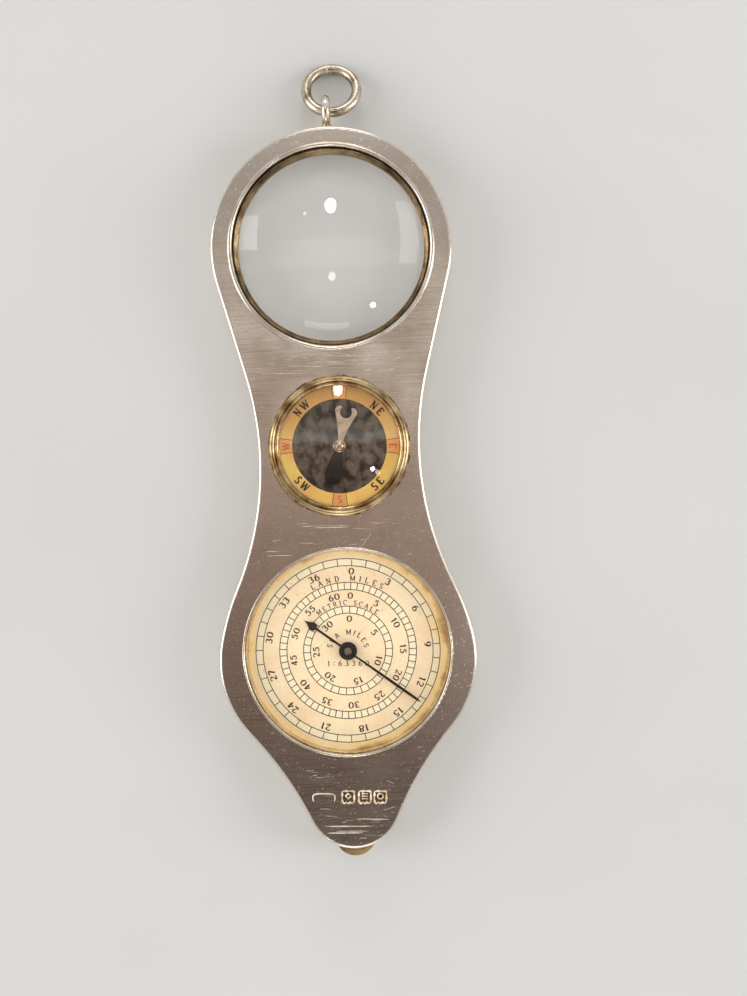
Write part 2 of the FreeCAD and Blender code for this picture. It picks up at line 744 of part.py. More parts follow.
def dial():
    """Bezel, glass and the inner ring that holds it, printed card, dial plate."""
    plate_top = "dialLow + dialThick"
    card_top = plate_top + " + dialCardThick"
    bezel = turned("dial_bezel", (
        ("dialGlassR", card_top),
        ("dialHoleR", card_top),
        ("dialHoleR", "caseDeep + 0.25"),
        ("dialR", "caseDeep + 0.25"),
        ("dialR", "dialGlassLow + dialGlassEdge + 0.05"),
        ("dialGlassR", "dialGlassLow + dialGlassEdge + 0.05"),
    ))
    round_edges(bezel, 0.15, lambda edge: at_height(edge, value("caseDeep + 0.25")), "dial_bezel_round")
    sub_part(bezel, "dial_bezel")
    sub_part(turned("dial_inner_ring", (
        ("dialR - 0.45", card_top),
        ("dialGlassR", card_top),
        ("dialGlassR", "dialGlassLow"),
        ("dialR - 0.15", "dialGlassLow"),
    )), "dial_inner_ring")
    sub_part(turned("dial_crystal", (
        (0, "dialGlassLow + dialGlassRise", "dome"),
        ("dialGlassR - 0.02", "dialGlassLow"),
        ("dialGlassR - 0.02", "dialGlassLow + dialGlassEdge", "dome"),
        (0, "dialGlassLow + dialGlassEdge + dialGlassRise"),
    )), "dial_crystal")
    sub_part(turned("dial_plate", (
        ("dialHoleInR", "dialLow"),
        ("dialHoleR - 0.1", "dialLow"),
        ("dialHoleR - 0.1", plate_top),
        ("dialHoleInR", plate_top),
    )), "dial_plate")
    sub_part(turned("dial_card", (
        ("dialHoleInR", plate_top),
        ("dialHoleR - 0.1", plate_top),
        ("dialHoleR - 0.1", card_top),
        ("dialHoleInR", card_top),
    )), "dial_card")


def pointer_hand():
    """A thin double-ended hand: a long lancet, and a short end with a spade."""
    body = new_body("pointer_hand")
    blade = new_sketch(body, "hand_blade", height="handLow")
    half = [("handLong", 0.03), ("handLong - 1.6", 0.19), ("0.6 * handLong", 0.21), (0, 0.14)]
    half += [("%.2f - handShort" % back, wide) for back, wide in HAND_SPADE]
    add_profile(blade, half + [("-handShort", 0)] + [(x, -y) for x, y in reversed(half)])
    pad(body, blade, "handThick")
    hub = new_sketch(body, "hand_hub", height="handLow - 0.2")
    add_circle(hub, "handHubR")
    pad(body, hub, "handThick + 0.45")
    round_edges(body, 0.15, lambda edge: at_height(edge, value("handLow + handThick + 0.25")), "hub_round")
    bore = new_sketch(body, "hand_bore", height="handLow - 0.3")
    add_circle(bore, "handPostR")
    pocket(body, bore, "handThick + 0.7")
    place(body, turn="handTurn", axis=(0, 0, -1))
    return sub_part(body, "pointer_hand")


# the movement -----------------------------------------------------------


FIRST_Y = "-centreReach - secondReach"
TRACING_Y = "-centreReach - secondReach - firstReach"
ARBOR_YS = ("0", "-centreReach", FIRST_Y, TRACING_Y)


def add_plate_outline(sketch, big, small):
    """A round plate drawn out to the tip: two circles and their outer tangents."""
    big_r = value(big)
    small_r = value(small)
    tip = FreeCAD.Vector(0, value("tipY"), 0)
    lean = math.asin((big_r - small_r) / tip.Length)
    ray = FreeCAD.Vector(math.cos(lean), -math.sin(lean), 0)
    other = FreeCAD.Vector(-ray.x, ray.y, 0)
    top = FreeCAD.Vector(0, big_r, 0)
    bottom = tip - FreeCAD.Vector(0, small_r, 0)
    sketch.addGeometry(Part.Arc(ray * big_r, top, other * big_r))
    sketch.addGeometry(Part.LineSegment(other * big_r, tip + other * small_r))
    sketch.addGeometry(Part.Arc(tip + other * small_r, bottom, tip + ray * small_r))
    sketch.addGeometry(Part.LineSegment(tip + ray * small_r, ray * big_r))
    for joint in ((0, 2, 1, 1), (1, 2, 2, 1), (2, 2, 3, 1), (3, 2, 0, 1)):
        sketch.addConstraint(Sketcher.Constraint("Tangent", *joint))
    hold(sketch, "Radius", big, 0)
    hold(sketch, "Radius", small, 2)
    hold_point(sketch, 0, 3, 0, 0)
    hold_point(sketch, 2, 3, 0, "tipY")


def train_plate(name, low, pillar_hole):
    """A movement plate with its bush holes and pillar screw holes."""
    body = new_body(name)
    sheet = new_sketch(body, name + "_sheet", height=low)
    add_plate_outline(sheet, "moveR", "moveTipR")
    pad(body, sheet, "plateSheet")
    holes = new_sketch(body, name + "_holes", height=low)
    for y in ARBOR_YS:
        add_circle(holes, "bushR", 0, y)
    for x, y in PILLARS:
        add_circle(holes, pillar_hole, x, y)
    pocket(body, holes, "plateSheet")
    return body


def ear_spots():
    reach = value("earOut")
    return [(reach * math.cos(math.radians(a)), reach * math.sin(math.radians(a))) for a in EAR_ANGLES]


def movement_plates():
    sub_part(train_plate("movement_back_plate", "plateLow", "smallScrewR"), "movement_back_plate")
    sheet = train_plate("dial_side_sheet", "plateHigh", "pillarR - 0.2")
    high = "plateHigh + plateSheet"
    pieces = [sheet]
    holes = []
    for number, (x, y) in enumerate(ear_spots()):
        pieces.append(cylinder("ear_%d" % number, "earR", "plateHigh", high, x, y))
        arm = box("ear_arm_%d" % number, "earOut - moveR + 1", "2 * earR", "plateHigh", high)
        turned_arm = place(arm, turn=EAR_ANGLES[number])
        back = value("moveR") - 1
        side = value("earR")
        lean = math.radians(EAR_ANGLES[number])
        place(turned_arm, back * math.cos(lean) + side * math.sin(lean),
              back * math.sin(lean) - side * math.cos(lean), "plateHigh")
        pieces.append(turned_arm)
        holes.append(cylinder("ear_hole_%d" % number, "smallScrewR", "plateHigh", high, x, y))
    plate = cut("movement_front_plate", fused("dial_side_blank", *pieces), *holes)
    sub_part(plate, "movement_front_plate")


def movement_pillars():
    """Shouldered pillars: a tenon riveted in the dial-side plate, a screw hole
    in the other end."""
    pillars = []
    for number, (x, y) in enumerate(PILLARS):
        name = "pillar_%d" % number
        rod = cylinder(name + "_rod", "pillarR", "plateLow + plateSheet", "plateHigh", x, y)
        tenon = cylinder(name + "_tenon", "pillarR - 0.2", "plateHigh", "plateHigh + plateSheet", x, y)
        bore = cylinder(name + "_bore", "smallScrewR", "plateLow + plateSheet", 3.1, x, y)
        pillars.append(cut(name, fused(name + "_blank", rod, tenon), bore))
    return sub_part(group("movement_pillars", pillars), "movement_pillars")


def cheese_screw(name, x, y, top, under, tip):
    """A slotted cheese-head screw. Its head lies between top and under, which is
    the side its shank leaves; a shank that ends higher points upwards."""
    low, high = sorted((top, under), key=value)
    head = cylinder(name + "_head", "smallHeadR", low, high, x, y)
    start, end = sorted((under, tip), key=value)
    shank = cylinder(name + "_shank", "smallScrewR", start, end, x, y)
    deep = "0.15" if value(top) > value(under) else "-0.15"
    floor, mouth = sorted(("%s - (%s)" % (top, deep), "%s + (%s)" % (top, deep)), key=value)
    slot = box(name + "_slot", "2.2 * smallHeadR", 0.2, floor, mouth, x, y)
    return cut(name, fused(name + "_blank", head, shank), slot)


def movement_fasteners():
    """Screws of the back plate, and the posts and screws that hold the movement
    to the front plate of the case."""
    screws = []
    for number, (x, y) in enumerate(PILLARS):
        screws.append(cheese_screw(
            "plate_screw_%d" % number, x, y, "plateLow - smallHeadHigh", "plateLow", "3.0"))
    sub_part(group("plate_screws", screws), "plate_screws")
    posts = []
    fixings = []
    seat = "plateHigh + plateSheet"
    for number, (x, y) in enumerate(ear_spots()):
        name = "movement_post_%d" % number
        rod = cylinder(name + "_rod", "earR - 0.2", seat, "caseDeep - plateThick", x, y)
        bore = cylinder(name + "_bore", "smallScrewR", seat, "6.2", x, y)
        posts.append(cut(name, rod, bore))
        fixings.append(cheese_screw(
            "ear_screw_%d" % number, x, y, "plateHigh - smallHeadHigh", "plateHigh", "6.1"))
    sub_part(group("movement_posts", posts), "movement_posts")
    sub_part(group("movement_screws", fixings), "movement_screws")


def bushes(name, low, pivots):
    """Four brass bushes pressed into a plate, bored for the pivots."""
    rings = []
    for number, (y, pivot) in enumerate(zip(ARBOR_YS, pivots)):
        high = "%s + plateSheet" % low
        outside = cylinder("%s_%d_out" % (name, number), "bushR", low, high, 0, y)
        bore = cylinder("%s_%d_bore" % (name, number), pivot + " + pivotPlay", low, high, 0, y)
        rings.append(cut("%s_%d" % (name, number), outside, bore))
    return sub_part(group(name, rings), name)


# wheels and pinions -----------------------------------------------------


def involute(angle):
    return math.tan(angle) - angle


def gear_face(teeth, module, first_tooth):
    """The flat shape of a spur gear. Each flank is an arc through three points of
    the involute, and runs down the radius below the base circle. The first
    tooth points along first_tooth, in radians."""
    pitch_r = module * teeth / 2
    base_r = pitch_r * math.cos(PRESSURE_ANGLE)
    tip_r = pitch_r + ADDENDUM * module
    root_r = pitch_r - DEDENDUM * module
    half_tooth = (math.pi * module / 2 - value("toothPlay")) / (2 * pitch_r)

    def half_angle(radius):
        at = math.acos(min(1, base_r / radius))
        return half_tooth + involute(PRESSURE_ANGLE) - involute(at)

    def point(radius, angle):
        return FreeCAD.Vector(radius * math.cos(angle), radius * math.sin(angle), 0)

    flank_r = max(base_r, root_r)
    steps = [flank_r, (flank_r + tip_r) / 2, tip_r]
    edges = []
    for number in range(teeth):
        middle = first_tooth + 2 * math.pi * number / teeth
        rising = [point(r, middle - half_angle(r)) for r in steps]
        falling = [point(r, middle + half_angle(r)) for r in reversed(steps)]
        root_in = point(root_r, middle - half_angle(flank_r))
        root_out = point(root_r, middle + half_angle(flank_r))
        next_root = point(root_r, middle + 2 * math.pi / teeth - half_angle(flank_r))
        if root_r < base_r:
            edges.append(Part.LineSegment(root_in, rising[0]))
        edges.append(Part.Arc(*rising))
        edges.append(Part.LineSegment(rising[-1], falling[0]))
        edges.append(Part.Arc(*falling))
        if root_r < base_r:
            edges.append(Part.LineSegment(falling[-1], root_out))
        edges.append(Part.LineSegment(root_out, next_root))
    return Part.Face(Part.Wire([edge.toShape() for edge in edges]))


def gear_blank(name, teeth, module, first_tooth, low, thick, y):
    """A toothed disc standing on its level of the movement."""
    flat = doc.addObject("Part::Feature", name + "_teeth")
    flat.Shape = gear_face(int(value(teeth)), module, first_tooth)
    place(flat, y=y, z=low)
    disc = doc.addObject("Part::Extrusion", name + "_disc")
    disc.Base = flat
    disc.DirMode = "Custom"
    disc.Dir = FreeCAD.Vector(0, 0, 1)
    disc.Solid = True
    return bind(disc, LengthFwd=thick)


def crossed_wheel(name, teeth, module, first_tooth, low, hub, spokes, y):
    """A brass wheel crossed out to spokes, with a round seat for its arbor."""
    disc = gear_blank(name, teeth, module, first_tooth, low, "wheelThick", y)
    high = "%s + wheelThick" % low
    rim = module * value(teeth) / 2 - 3.2 * module
    spread = cylinder(name + "_spread", "%.4f" % rim, low, high, 0, y)
    middle = cylinder(name + "_middle", hub, low, high, 0, y)
    bars = [middle]
    for number in range(spokes):
        bar = box("%s_spoke_%d" % (name, number), "0.9", "%.4f" % rim, low, high)
        turn = 360 * number / spokes + 45
        lean = math.radians(turn)
        aside = "%.5f" % (-0.45 * math.cos(lean))
        place(bar, aside, "%s + (%.5f)" % (y, -0.45 * math.sin(lean)), low, turn)
        bars.append(bar)
    windows = cut(name + "_windows", spread, *bars)
    seat = cylinder(name + "_seat", "arborR", low, high, 0, y)
    return sub_part(cut(name, disc, windows, seat), name)


def arbor(name, y, pieces, lower="pivotR", upper="pivotR", top="plateHigh + plateSheet - 0.1"):
    """A steel arbor with a pivot at each end, and what is cut in one with it."""
    shoulder_low = "plateLow + plateSheet + endShake"
    shoulder_high = "plateHigh - endShake"
    rod = cylinder(name + "_rod", "arborR", shoulder_low, shoulder_high, 0, y)
    foot = cylinder(name + "_foot", lower, "plateLow", shoulder_low, 0, y)
    head = cylinder(name + "_head", upper, shoulder_high, top, 0, y)
    return sub_part(fused(name, rod, foot, head, *pieces), name)


def going_train():
    """Tracing wheel to pointer: 48/10, then 40/16, then 48/12, so 48 turns of the
    tracing wheel make one of the pointer. Every arbor stands on the case axis.
    In each pair the wheel has a tooth, and its pinion a gap, on that line."""
    centre_module = value("2 * centreReach / (centreTeeth + secondPinionTeeth)")
    second_module = value("2 * secondReach / (secondTeeth + firstPinionTeeth)")
    first_module = value("2 * firstReach / (firstTeeth + tracingPinionTeeth)")
    down = -math.pi / 2

    def gap_up(teeth):
        return math.pi / 2 + math.pi / value(teeth)

    crossed_wheel("centre_wheel", "centreTeeth", centre_module, down, "lowWheel", 1.9, 5, "0")
    crossed_wheel("second_wheel", "secondTeeth", second_module, down, "highWheel", 1.8, 5, "-centreReach")
    crossed_wheel("first_wheel", "firstTeeth", first_module, down, "lowWheel", 1.5, 4, FIRST_Y)
    arbor("centre_arbor", "0", [], lower="pivotR + 0.1", upper="handPostR", top="handPostTop")
    second = gear_blank("second_pinion", "secondPinionTeeth", centre_module,
                        gap_up("secondPinionTeeth"), "lowPinion", "lowPinionLong", "-centreReach")
    arbor("second_arbor", "-centreReach", [second])
    first = gear_blank("first_pinion", "firstPinionTeeth", second_module,
                       gap_up("firstPinionTeeth"), "highPinion", "highPinionLong", FIRST_Y)
    arbor("first_arbor", FIRST_Y, [first])
    tracing = gear_blank("tracing_pinion", "tracingPinionTeeth", first_module,
                         gap_up("tracingPinionTeeth"), "lowPinion", "lowPinionLong", TRACING_Y)
    arbor("tracing_arbor", TRACING_Y, [tracing], upper="wheelPostR",
          top="tracingWheelLow + tracingWheelThick + 0.15")


def tracing_wheel():
    """A small brass wheel with rounded edges and a dished web. It stands on its
    arbor above the dial-side plate, close under the front of the case."""
    low = "tracingWheelLow"
    high = "tracingWheelLow + tracingWheelThick"
    body = turned("tracing_wheel", (
        ("wheelPostR", low),
        ("wheelPostR + 0.5", low),
        ("wheelPostR + 0.7", low + " + 0.15"),
        ("tracingWheelR - 0.9", low + " + 0.15"),
        ("tracingWheelR - 0.7", low),
        ("tracingWheelR - 0.12", low),
        ("tracingWheelR", low + " + 0.12"),
        ("tracingWheelR", high + " - 0.12"),
        ("tracingWheelR - 0.12", high),
        ("tracingWheelR - 0.7", high),
        ("tracingWheelR - 0.9", high + " - 0.15"),
        ("wheelPostR + 0.7", high + " - 0.15"),
        ("wheelPostR + 0.5", high),
        ("wheelPostR", high),
    ), TRACING_Y)
    return sub_part(body, "tracing_wheel")


# the pendant ------------------------------------------------------------


def torus(name, bend, wire):
    return bind(doc.addObject("Part::Torus", name), Radius1=bend, Radius2=wire)


def pendant():
    """A wire eyelet that stands edge-on at the top of the case, with a flared
    foot soldered on the band, and a jump ring through it."""
    eye_y = "lobeY + lobeR + eyeletOut"
    half = "caseDeep / 2"
    loop = torus("eyelet_loop", "eyeletBendR", "eyeletWireR")
    place(loop, 0, eye_y, half, 90, (0, 1, 0))
    foot = bind(doc.addObject("Part::Cone", "eyelet_foot"), Radius1=1.4, Radius2=0.8, Height=1.2)
    place(foot, 0, "lobeY + lobeR - 0.4", half, 90, (-1, 0, 0))
    lobe = cylinder("eyelet_lobe", "lobeR", 0, "caseDeep", 0, "lobeY")
    eye = bind(doc.addObject("Part::Cylinder", "eyelet_eye"), Radius="eyeletBendR - eyeletWireR", Height=4)
    place(eye, -2, eye_y, half, 90, (0, 1, 0))
    sub_part(cut("pendant_eyelet", fused("eyelet_blank", loop, foot), lobe, eye), "pendant_eyelet")
    ring = torus("pendant_ring", "ringBendR", "ringWireR")
    out = value("sqrt(ringBendR ^ 2 - ringShift ^ 2)")
    droop = math.radians(value("ringDroop"))
    place(ring, "ringShift", "%s + %.5f" % (eye_y, out * math.cos(droop)),
          "%s - %.5f" % (half, out * math.sin(droop)), "ringDroop", (-1, 0, 0))
    return sub_part(ring, "pendant_ring")


def check_document():
    """Stops with the names of failed objects before anything is written."""
    bad = [thing.Name for thing in doc.Objects if {"Invalid", "Error"} & set(thing.State)]
    for thing in subParts:
        if thing.Shape.isNull() or not thing.Shape.isValid() or not thing.Shape.Solids:
            bad.append(thing.Label)
    if bad:
        raise SystemExit("failed objects: %s" % ", ".join(bad))


def write_parts():
    os.makedirs("parts", exist_ok=True)
    for thing in subParts:
        thing.Shape.exportStep("parts/%s.step" % thing.Label)
        print(thing.Label, len(thing.Shape.Solids), round(thing.Shape.Volume, 2))


fill_sheet()
front_cover()
back_cover()
case_screws()
screw_posts()
reading_lens()
compass()
compass_needle()
dial()
pointer_hand()
movement_plates()
movement_pillars()
movement_fasteners()
bushes("front_bushes", "plateHigh", ("handPostR", "pivotR", "pivotR", "wheelPostR"))
bushes("back_bushes", "plateLow", ("pivotR + 0.1", "pivotR", "pivotR", "pivotR"))
going_train()
tracing_wheel()
pendant()
doc.recompute()
check_document()
write_parts()
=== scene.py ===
import math
import bpy
import numpy as np
from mathutils import Matrix, Vector


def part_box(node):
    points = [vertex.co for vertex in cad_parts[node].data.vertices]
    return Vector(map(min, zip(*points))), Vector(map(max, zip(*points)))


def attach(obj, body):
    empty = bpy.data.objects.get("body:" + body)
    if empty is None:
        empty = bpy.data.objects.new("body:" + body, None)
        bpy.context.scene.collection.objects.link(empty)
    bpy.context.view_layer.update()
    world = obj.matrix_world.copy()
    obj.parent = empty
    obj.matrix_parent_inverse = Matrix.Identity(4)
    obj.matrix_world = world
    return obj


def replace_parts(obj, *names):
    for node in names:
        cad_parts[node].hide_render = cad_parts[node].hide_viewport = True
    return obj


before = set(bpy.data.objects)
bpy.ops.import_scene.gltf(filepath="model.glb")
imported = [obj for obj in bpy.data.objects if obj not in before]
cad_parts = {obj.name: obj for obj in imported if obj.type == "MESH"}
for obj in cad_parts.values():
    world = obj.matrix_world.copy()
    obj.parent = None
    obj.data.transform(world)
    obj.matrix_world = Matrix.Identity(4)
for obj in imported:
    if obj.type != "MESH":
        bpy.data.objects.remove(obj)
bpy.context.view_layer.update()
print("frame loaded:", len(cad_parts), "nodes")

mm = 0.001
tau = 2 * math.pi


def middleOf(node):
    # centre of a CAD node's box, in millimetres
    low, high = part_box(node)
    return np.array((low + high) / 2) / mm


def topOf(node):
    # the height of the top of its box, in millimetres
    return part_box(node)[1].z / mm


# the axes of the instruments and the levels that the prints lie on, all read from the frame
dialAxis = middleOf("dial_card")[:2]
compassAxis = middleOf("compass_card")[:2]
lensAxis = middleOf("lens_glass")[:2]
wheelAxis = middleOf("tracing_wheel")[:2]
plateTop = topOf("front_cover")
dialTop = topOf("dial_card")
compassTop = topOf("compass_card")


# surfaces: every shape is a grid of points worked out by a formula


def gridFaces(rows, columns, closeRows=False, closeColumns=False):
    # corner numbers of every square of a grid of points, rows by columns
    i = np.arange(rows if closeRows else rows - 1)[:, None]
    j = np.arange(columns if closeColumns else columns - 1)[None, :]
    a = i * columns + j
    b = i * columns + (j + 1) % columns
    c = ((i + 1) % rows) * columns + (j + 1) % columns
    d = ((i + 1) % rows) * columns + j
    return np.stack([a, b, c, d], axis=-1).reshape(-1, 4)


def joined(parts):
    # several (points, faces) pairs as one pair
    starts = np.cumsum([0] + [len(points) for points, faces in parts[:-1]])
    return (np.concatenate([points for points, faces in parts]),
            np.concatenate([faces + start for (points, faces), start in zip(parts, starts)]))


def makePiece(name, points, faces, material, slotName, body="case", smooth=True):
    # points in millimetres, in the row frame
    mesh = bpy.data.meshes.new(name)
    # a square whose last corner is named twice is a triangle at a pole
    mesh.from_pydata((points * mm).tolist(), [], [f[:3] if f[2] == f[3] else f for f in faces.tolist()])
    mesh.polygons.foreach_set("use_smooth", [smooth] * len(mesh.polygons))
    mesh.materials.append(material)
    mesh.update()
    piece = bpy.data.objects.new(name, mesh)
    bpy.context.scene.collection.objects.link(piece)
    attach(piece, body)
    return piece


def onCircle(axis, radius, angle):
    # points round an upright axis: the radius by the cosine and sine of an angle counterclockwise from +X
    return np.stack([axis[0] + radius * np.cos(angle), axis[1] + radius * np.sin(angle)], axis=-1)


def turned(profile, axis, steps):
    # a closed profile of (radius, height) pairs carried once round an upright axis: it starts at its
    # foot and goes outwards and up, so the corners are taken the other way round to face out
    radius, height = np.array(profile, float).T
    flat = onCircle(axis, radius[None, :], np.linspace(0, tau, steps, endpoint=False)[:, None])
    points = np.concatenate([flat, np.broadcast_to(height[None, :, None], flat.shape[:2] + (1,))], axis=-1)
    faces = gridFaces(steps, len(radius), closeRows=True, closeColumns=True)
    return points.reshape(-1, 3), faces[:, ::-1]


def capped(rings, steps, firstPole, lastPole):
    # rings of points as a closed skin: squares between the rings, triangles to a pole at each end
    count = len(rings) * steps
    first = np.arange(steps)
    last = first + count - steps
    capA = np.stack([np.roll(first, -1), first, np.full(steps, count), np.full(steps, count)], axis=-1)
    capB = np.stack([last, np.roll(last, -1), np.full(steps, count + 1), np.full(steps, count + 1)], axis=-1)
    points = np.concatenate([rings.reshape(-1, 3), [firstPole], [lastPole]])
    return points, np.concatenate([gridFaces(len(rings), steps, closeColumns=True), capA, capB])


def signedPower(value, power):
    # the size of each value to a power, its sign kept
    return np.sign(value) * np.abs(value) ** power


def bar(alongs, half, zMiddle, zHalf, middle=0.0, squareness=6.0, steps=20):
    # a flat bar along +Y: at each place its section is a rounded rectangle, the superellipse
    # x = middle + half * cos^(2/n), z = zMiddle + zHalf * sin^(2/n), signs kept, n the squareness;
    # where its width falls under `slim` of its thickness it gets thinner too
    least, slim = 1e-4, 0.6
    t = (np.arange(steps) + 0.5)[None, :] / steps * tau
    across = signedPower(np.cos(t), 2 / squareness)
    up = signedPower(np.sin(t), 2 / squareness)
    half = np.maximum(half, least)
    x = np.broadcast_to(middle, half.shape)[:, None] + half[:, None] * across
    y = np.broadcast_to(alongs[:, None], x.shape)
    z = zMiddle + (zHalf * np.minimum(1.0, half / (slim * zHalf)))[:, None] * up
    points, faces = capped(np.stack([x, y, z], axis=-1), steps, (x[0].mean(), alongs[0], zMiddle),
                           (x[-1].mean(), alongs[-1], zMiddle))
    # towards +Y the sections run clockwise, so the corners are taken the other way round
    return points, faces if alongs[-1] < alongs[0] else faces[:, [1, 0, 3, 2]]


def wire(path, radius, closed=False, steps=8):
    # a round wire along a path: each ring of points stands square to the path, at the radius by
    # cos * side + sin * down, two directions square to it and to each other
    path = np.array(path, float)
    ahead = np.roll(path, -1, axis=0) - np.roll(path, 1, axis=0)
    if not closed:
        ahead[0] = path[1] - path[0]
        ahead[-1] = path[-1] - path[-2]
    ahead /= np.linalg.norm(ahead, axis=1, keepdims=True)
    side = np.cross(ahead, np.array([0.0, 0.0, 1.0]))
    side /= np.linalg.norm(side, axis=1, keepdims=True)
    down = np.cross(ahead, side)
    turn = np.linspace(0, tau, steps, endpoint=False)[None, :, None]
    radius = np.broadcast_to(radius, len(path))[:, None, None]
    rings = path[:, None] + radius * (np.cos(turn) * side[:, None] + np.sin(turn) * down[:, None])
    if closed:
        return rings.reshape(-1, 3), gridFaces(len(path), steps, closeRows=True, closeColumns=True)
    return capped(rings, steps, path[0], path[-1])


def rotated(points, axis, turn):
    # points turned clockwise about an upright axis through `axis`, by an angle in radians
    flat = points[:, :2] @ np.array([[math.cos(turn), -math.sin(turn)], [math.sin(turn), math.cos(turn)]])
    return np.column_stack([flat + axis, points[:, 2]])


# print: rings, ticks, and characters drawn by pen strokes


def flatSheet(flat, z):
    # flat points, all at one height
    return np.column_stack([flat, np.full(len(flat), z)])


def printedRing(radius, width, axis, z, steps=256):
    # a flat ring between two radii, the outer edge first and the corners turned, so that it faces up
    angle = np.linspace(0, tau, steps, endpoint=False)[:, None]
    flat = onCircle(axis, radius + width * np.array([[0.5, -0.5]]), angle)
    return flatSheet(flat.reshape(-1, 2), z), gridFaces(steps, 2, closeRows=True)[:, ::-1]


def printedTicks(inner, outer, width, angles, axis, z):
    # one narrow square per angle, measured clockwise from +Y
    angles = np.asarray(angles, float)[:, None]
    radii = np.array([inner, inner, outer, outer])[None, :]
    side = width * np.array([-0.5, 0.5, 0.5, -0.5])[None, :]
    x = axis[0] + radii * np.sin(angles) + side * np.cos(angles)
    y = axis[1] + radii * np.cos(angles) - side * np.sin(angles)
    flat = np.stack([x, y], axis=-1).reshape(-1, 2)
    return flatSheet(flat, z), np.arange(len(flat)).reshape(-1, 4)


pen = {"serif": 0.09, "arcStep": 15, "tiny": 1e-9}


def directions(line):
    # unit steps along a line
    ahead = np.gradient(line, axis=0)
    return ahead / (np.linalg.norm(ahead, axis=1, keepdims=True) + pen["tiny"])


def stroke(line, widths):
    # a pen stroke: the line moved half its width to the left and to the right
    ahead = directions(line)
    left = np.stack([-ahead[:, 1], ahead[:, 0]], axis=-1) * widths[:, None] / 2
    return np.stack([line + left, line - left], axis=1).reshape(-1, 2), gridFaces(len(line), 2)


# characters, each with its width and its pen strokes where its height is 1: F fat line, T thin line,
# S serif, A arc (centre, radii, first and last angle), whose width follows its direction
characters = {
    "0": (0.66, "A .33 .5 .27 .49 0 360"),
    "1": (0.42, "F .24 0 .24 1; T .24 1 .08 .82; S .24 0"),
    "2": (0.60, "A .29 .73 .21 .27 165 -25; T .48 .60 .08 .06; F .05 .04 .54 .04; T .54 .04 .56 .2"),
    "3": (0.58, "A .27 .76 .19 .24 150 -90; A .26 .27 .24 .27 90 -155"),
    "4": (0.62, "F .42 0 .42 1; T .42 1 .03 .30; T .03 .30 .58 .30; S .42 0"),
    "5": (0.58, "F .13 .96 .48 .96; T .12 .97 .10 .58; A .25 .33 .25 .33 125 -155"),
    "6": (0.62, "A .31 .30 .23 .30 0 360; A .52 .30 .43 .69 180 98"),
    "7": (0.56, "F .05 .96 .52 .96; F .52 .96 .20 0; T .05 .96 .05 .80"),
    "8": (0.60, "A .30 .76 .18 .24 0 360; A .30 .27 .24 .27 0 360"),
    "9": (0.62, "A .29 .70 .23 .30 0 360; A .08 .70 .43 .69 0 -82"),
    "A": (0.76, "T .06 0 .37 1; F .37 1 .70 0; T .17 .34 .58 .34; S .06 0; S .70 0"),
    "C": (0.72, "A .40 .5 .34 .5 50 310; T .64 .98 .64 .74"),
    "D": (0.78, "F .14 0 .14 1; A .28 .5 .40 .5 90 -90; T .04 1 .30 1; T .04 0 .30 0"),
    "E": (0.64, "F .14 0 .14 1; T .04 .97 .56 .97; T .14 .52 .44 .52; T .04 .03 .60 .03; "
                "T .56 1 .56 .8; T .60 0 .60 .22"),
    "I": (0.34, "F .17 0 .17 1; S .17 0; S .17 1"),
    "L": (0.62, "F .14 0 .14 1; T .04 .03 .56 .03; T .56 0 .56 .24; S .14 1"),
    "M": (0.92, "T .10 0 .13 1; F .13 1 .46 .06; T .46 .06 .79 1; F .79 1 .82 0; S .10 0; S .82 0"),
    "N": (0.80, "T .14 0 .14 1; F .14 1 .66 0; T .66 0 .66 1; S .14 0; S .66 1; S .10 1"),
    "R": (0.76, "F .14 0 .14 1; A .30 .75 .25 .25 90 -90; T .04 1 .30 1; T .14 .5 .30 .5; "
                "F .34 .5 .66 0; S .14 0"),
    "S": (0.56, "A .28 .75 .19 .25 25 270; A .28 .25 .22 .25 90 -160"),
    "T": (0.68, "F .34 0 .34 1; T .05 .97 .63 .97; T .05 1 .05 .8; T .63 1 .63 .8; S .34 0"),
    "W": (1.02, "F .05 1 .27 0; T .27 0 .50 1; F .50 1 .74 0; T .74 0 .96 1; S .05 1; S .50 1; S .96 1"),
    ":": (0.34, "F .17 .60 .17 .82; F .17 .10 .17 .32"),
    " ": (0.42, ""),
}


def characterStrokes(character, fat, thin):
    # a line has the width of its kind; an arc grows from thin to fat with the square of how upright
    # it runs
    parts = []
    for item in filter(None, characters[character][1].split(";")):
        kind, *numbers = item.split()
        v = [float(n) for n in numbers]
        if kind == "A":
            angle = np.radians(np.linspace(v[4], v[5], 3 + int(abs(v[5] - v[4]) / pen["arcStep"])))
            line = np.stack([v[0] + v[2] * np.cos(angle), v[1] + v[3] * np.sin(angle)], axis=-1)
            widths = thin + (fat - thin) * np.abs(directions(line)[:, 1]) ** 2
        else:
            ends = [v[0] - pen["serif"], v[1], v[0] + pen["serif"], v[1]] if kind == "S" else v
            line = np.linspace(ends[:2], ends[2:], 3)
            widths = np.full(3, fat if kind == "F" else thin)
        parts.append(stroke(line, widths))
    return parts


def word(text, high, spacing=0.12, fat=0.17, thin=0.11, wide=1.0):
    # the word's strokes on a flat line, its middle at x = 0, its foot at y = 0
    x = -(sum(characters[c][0] for c in text) + spacing * (len(text) - 1)) / 2
    parts = []
    for c in text:
        for flat, faces in characterStrokes(c, fat, thin):
            parts.append(((flat + [x, 0]) * [high * wide, high], faces))
        x += characters[c][0] + spacing
    return joined(parts)


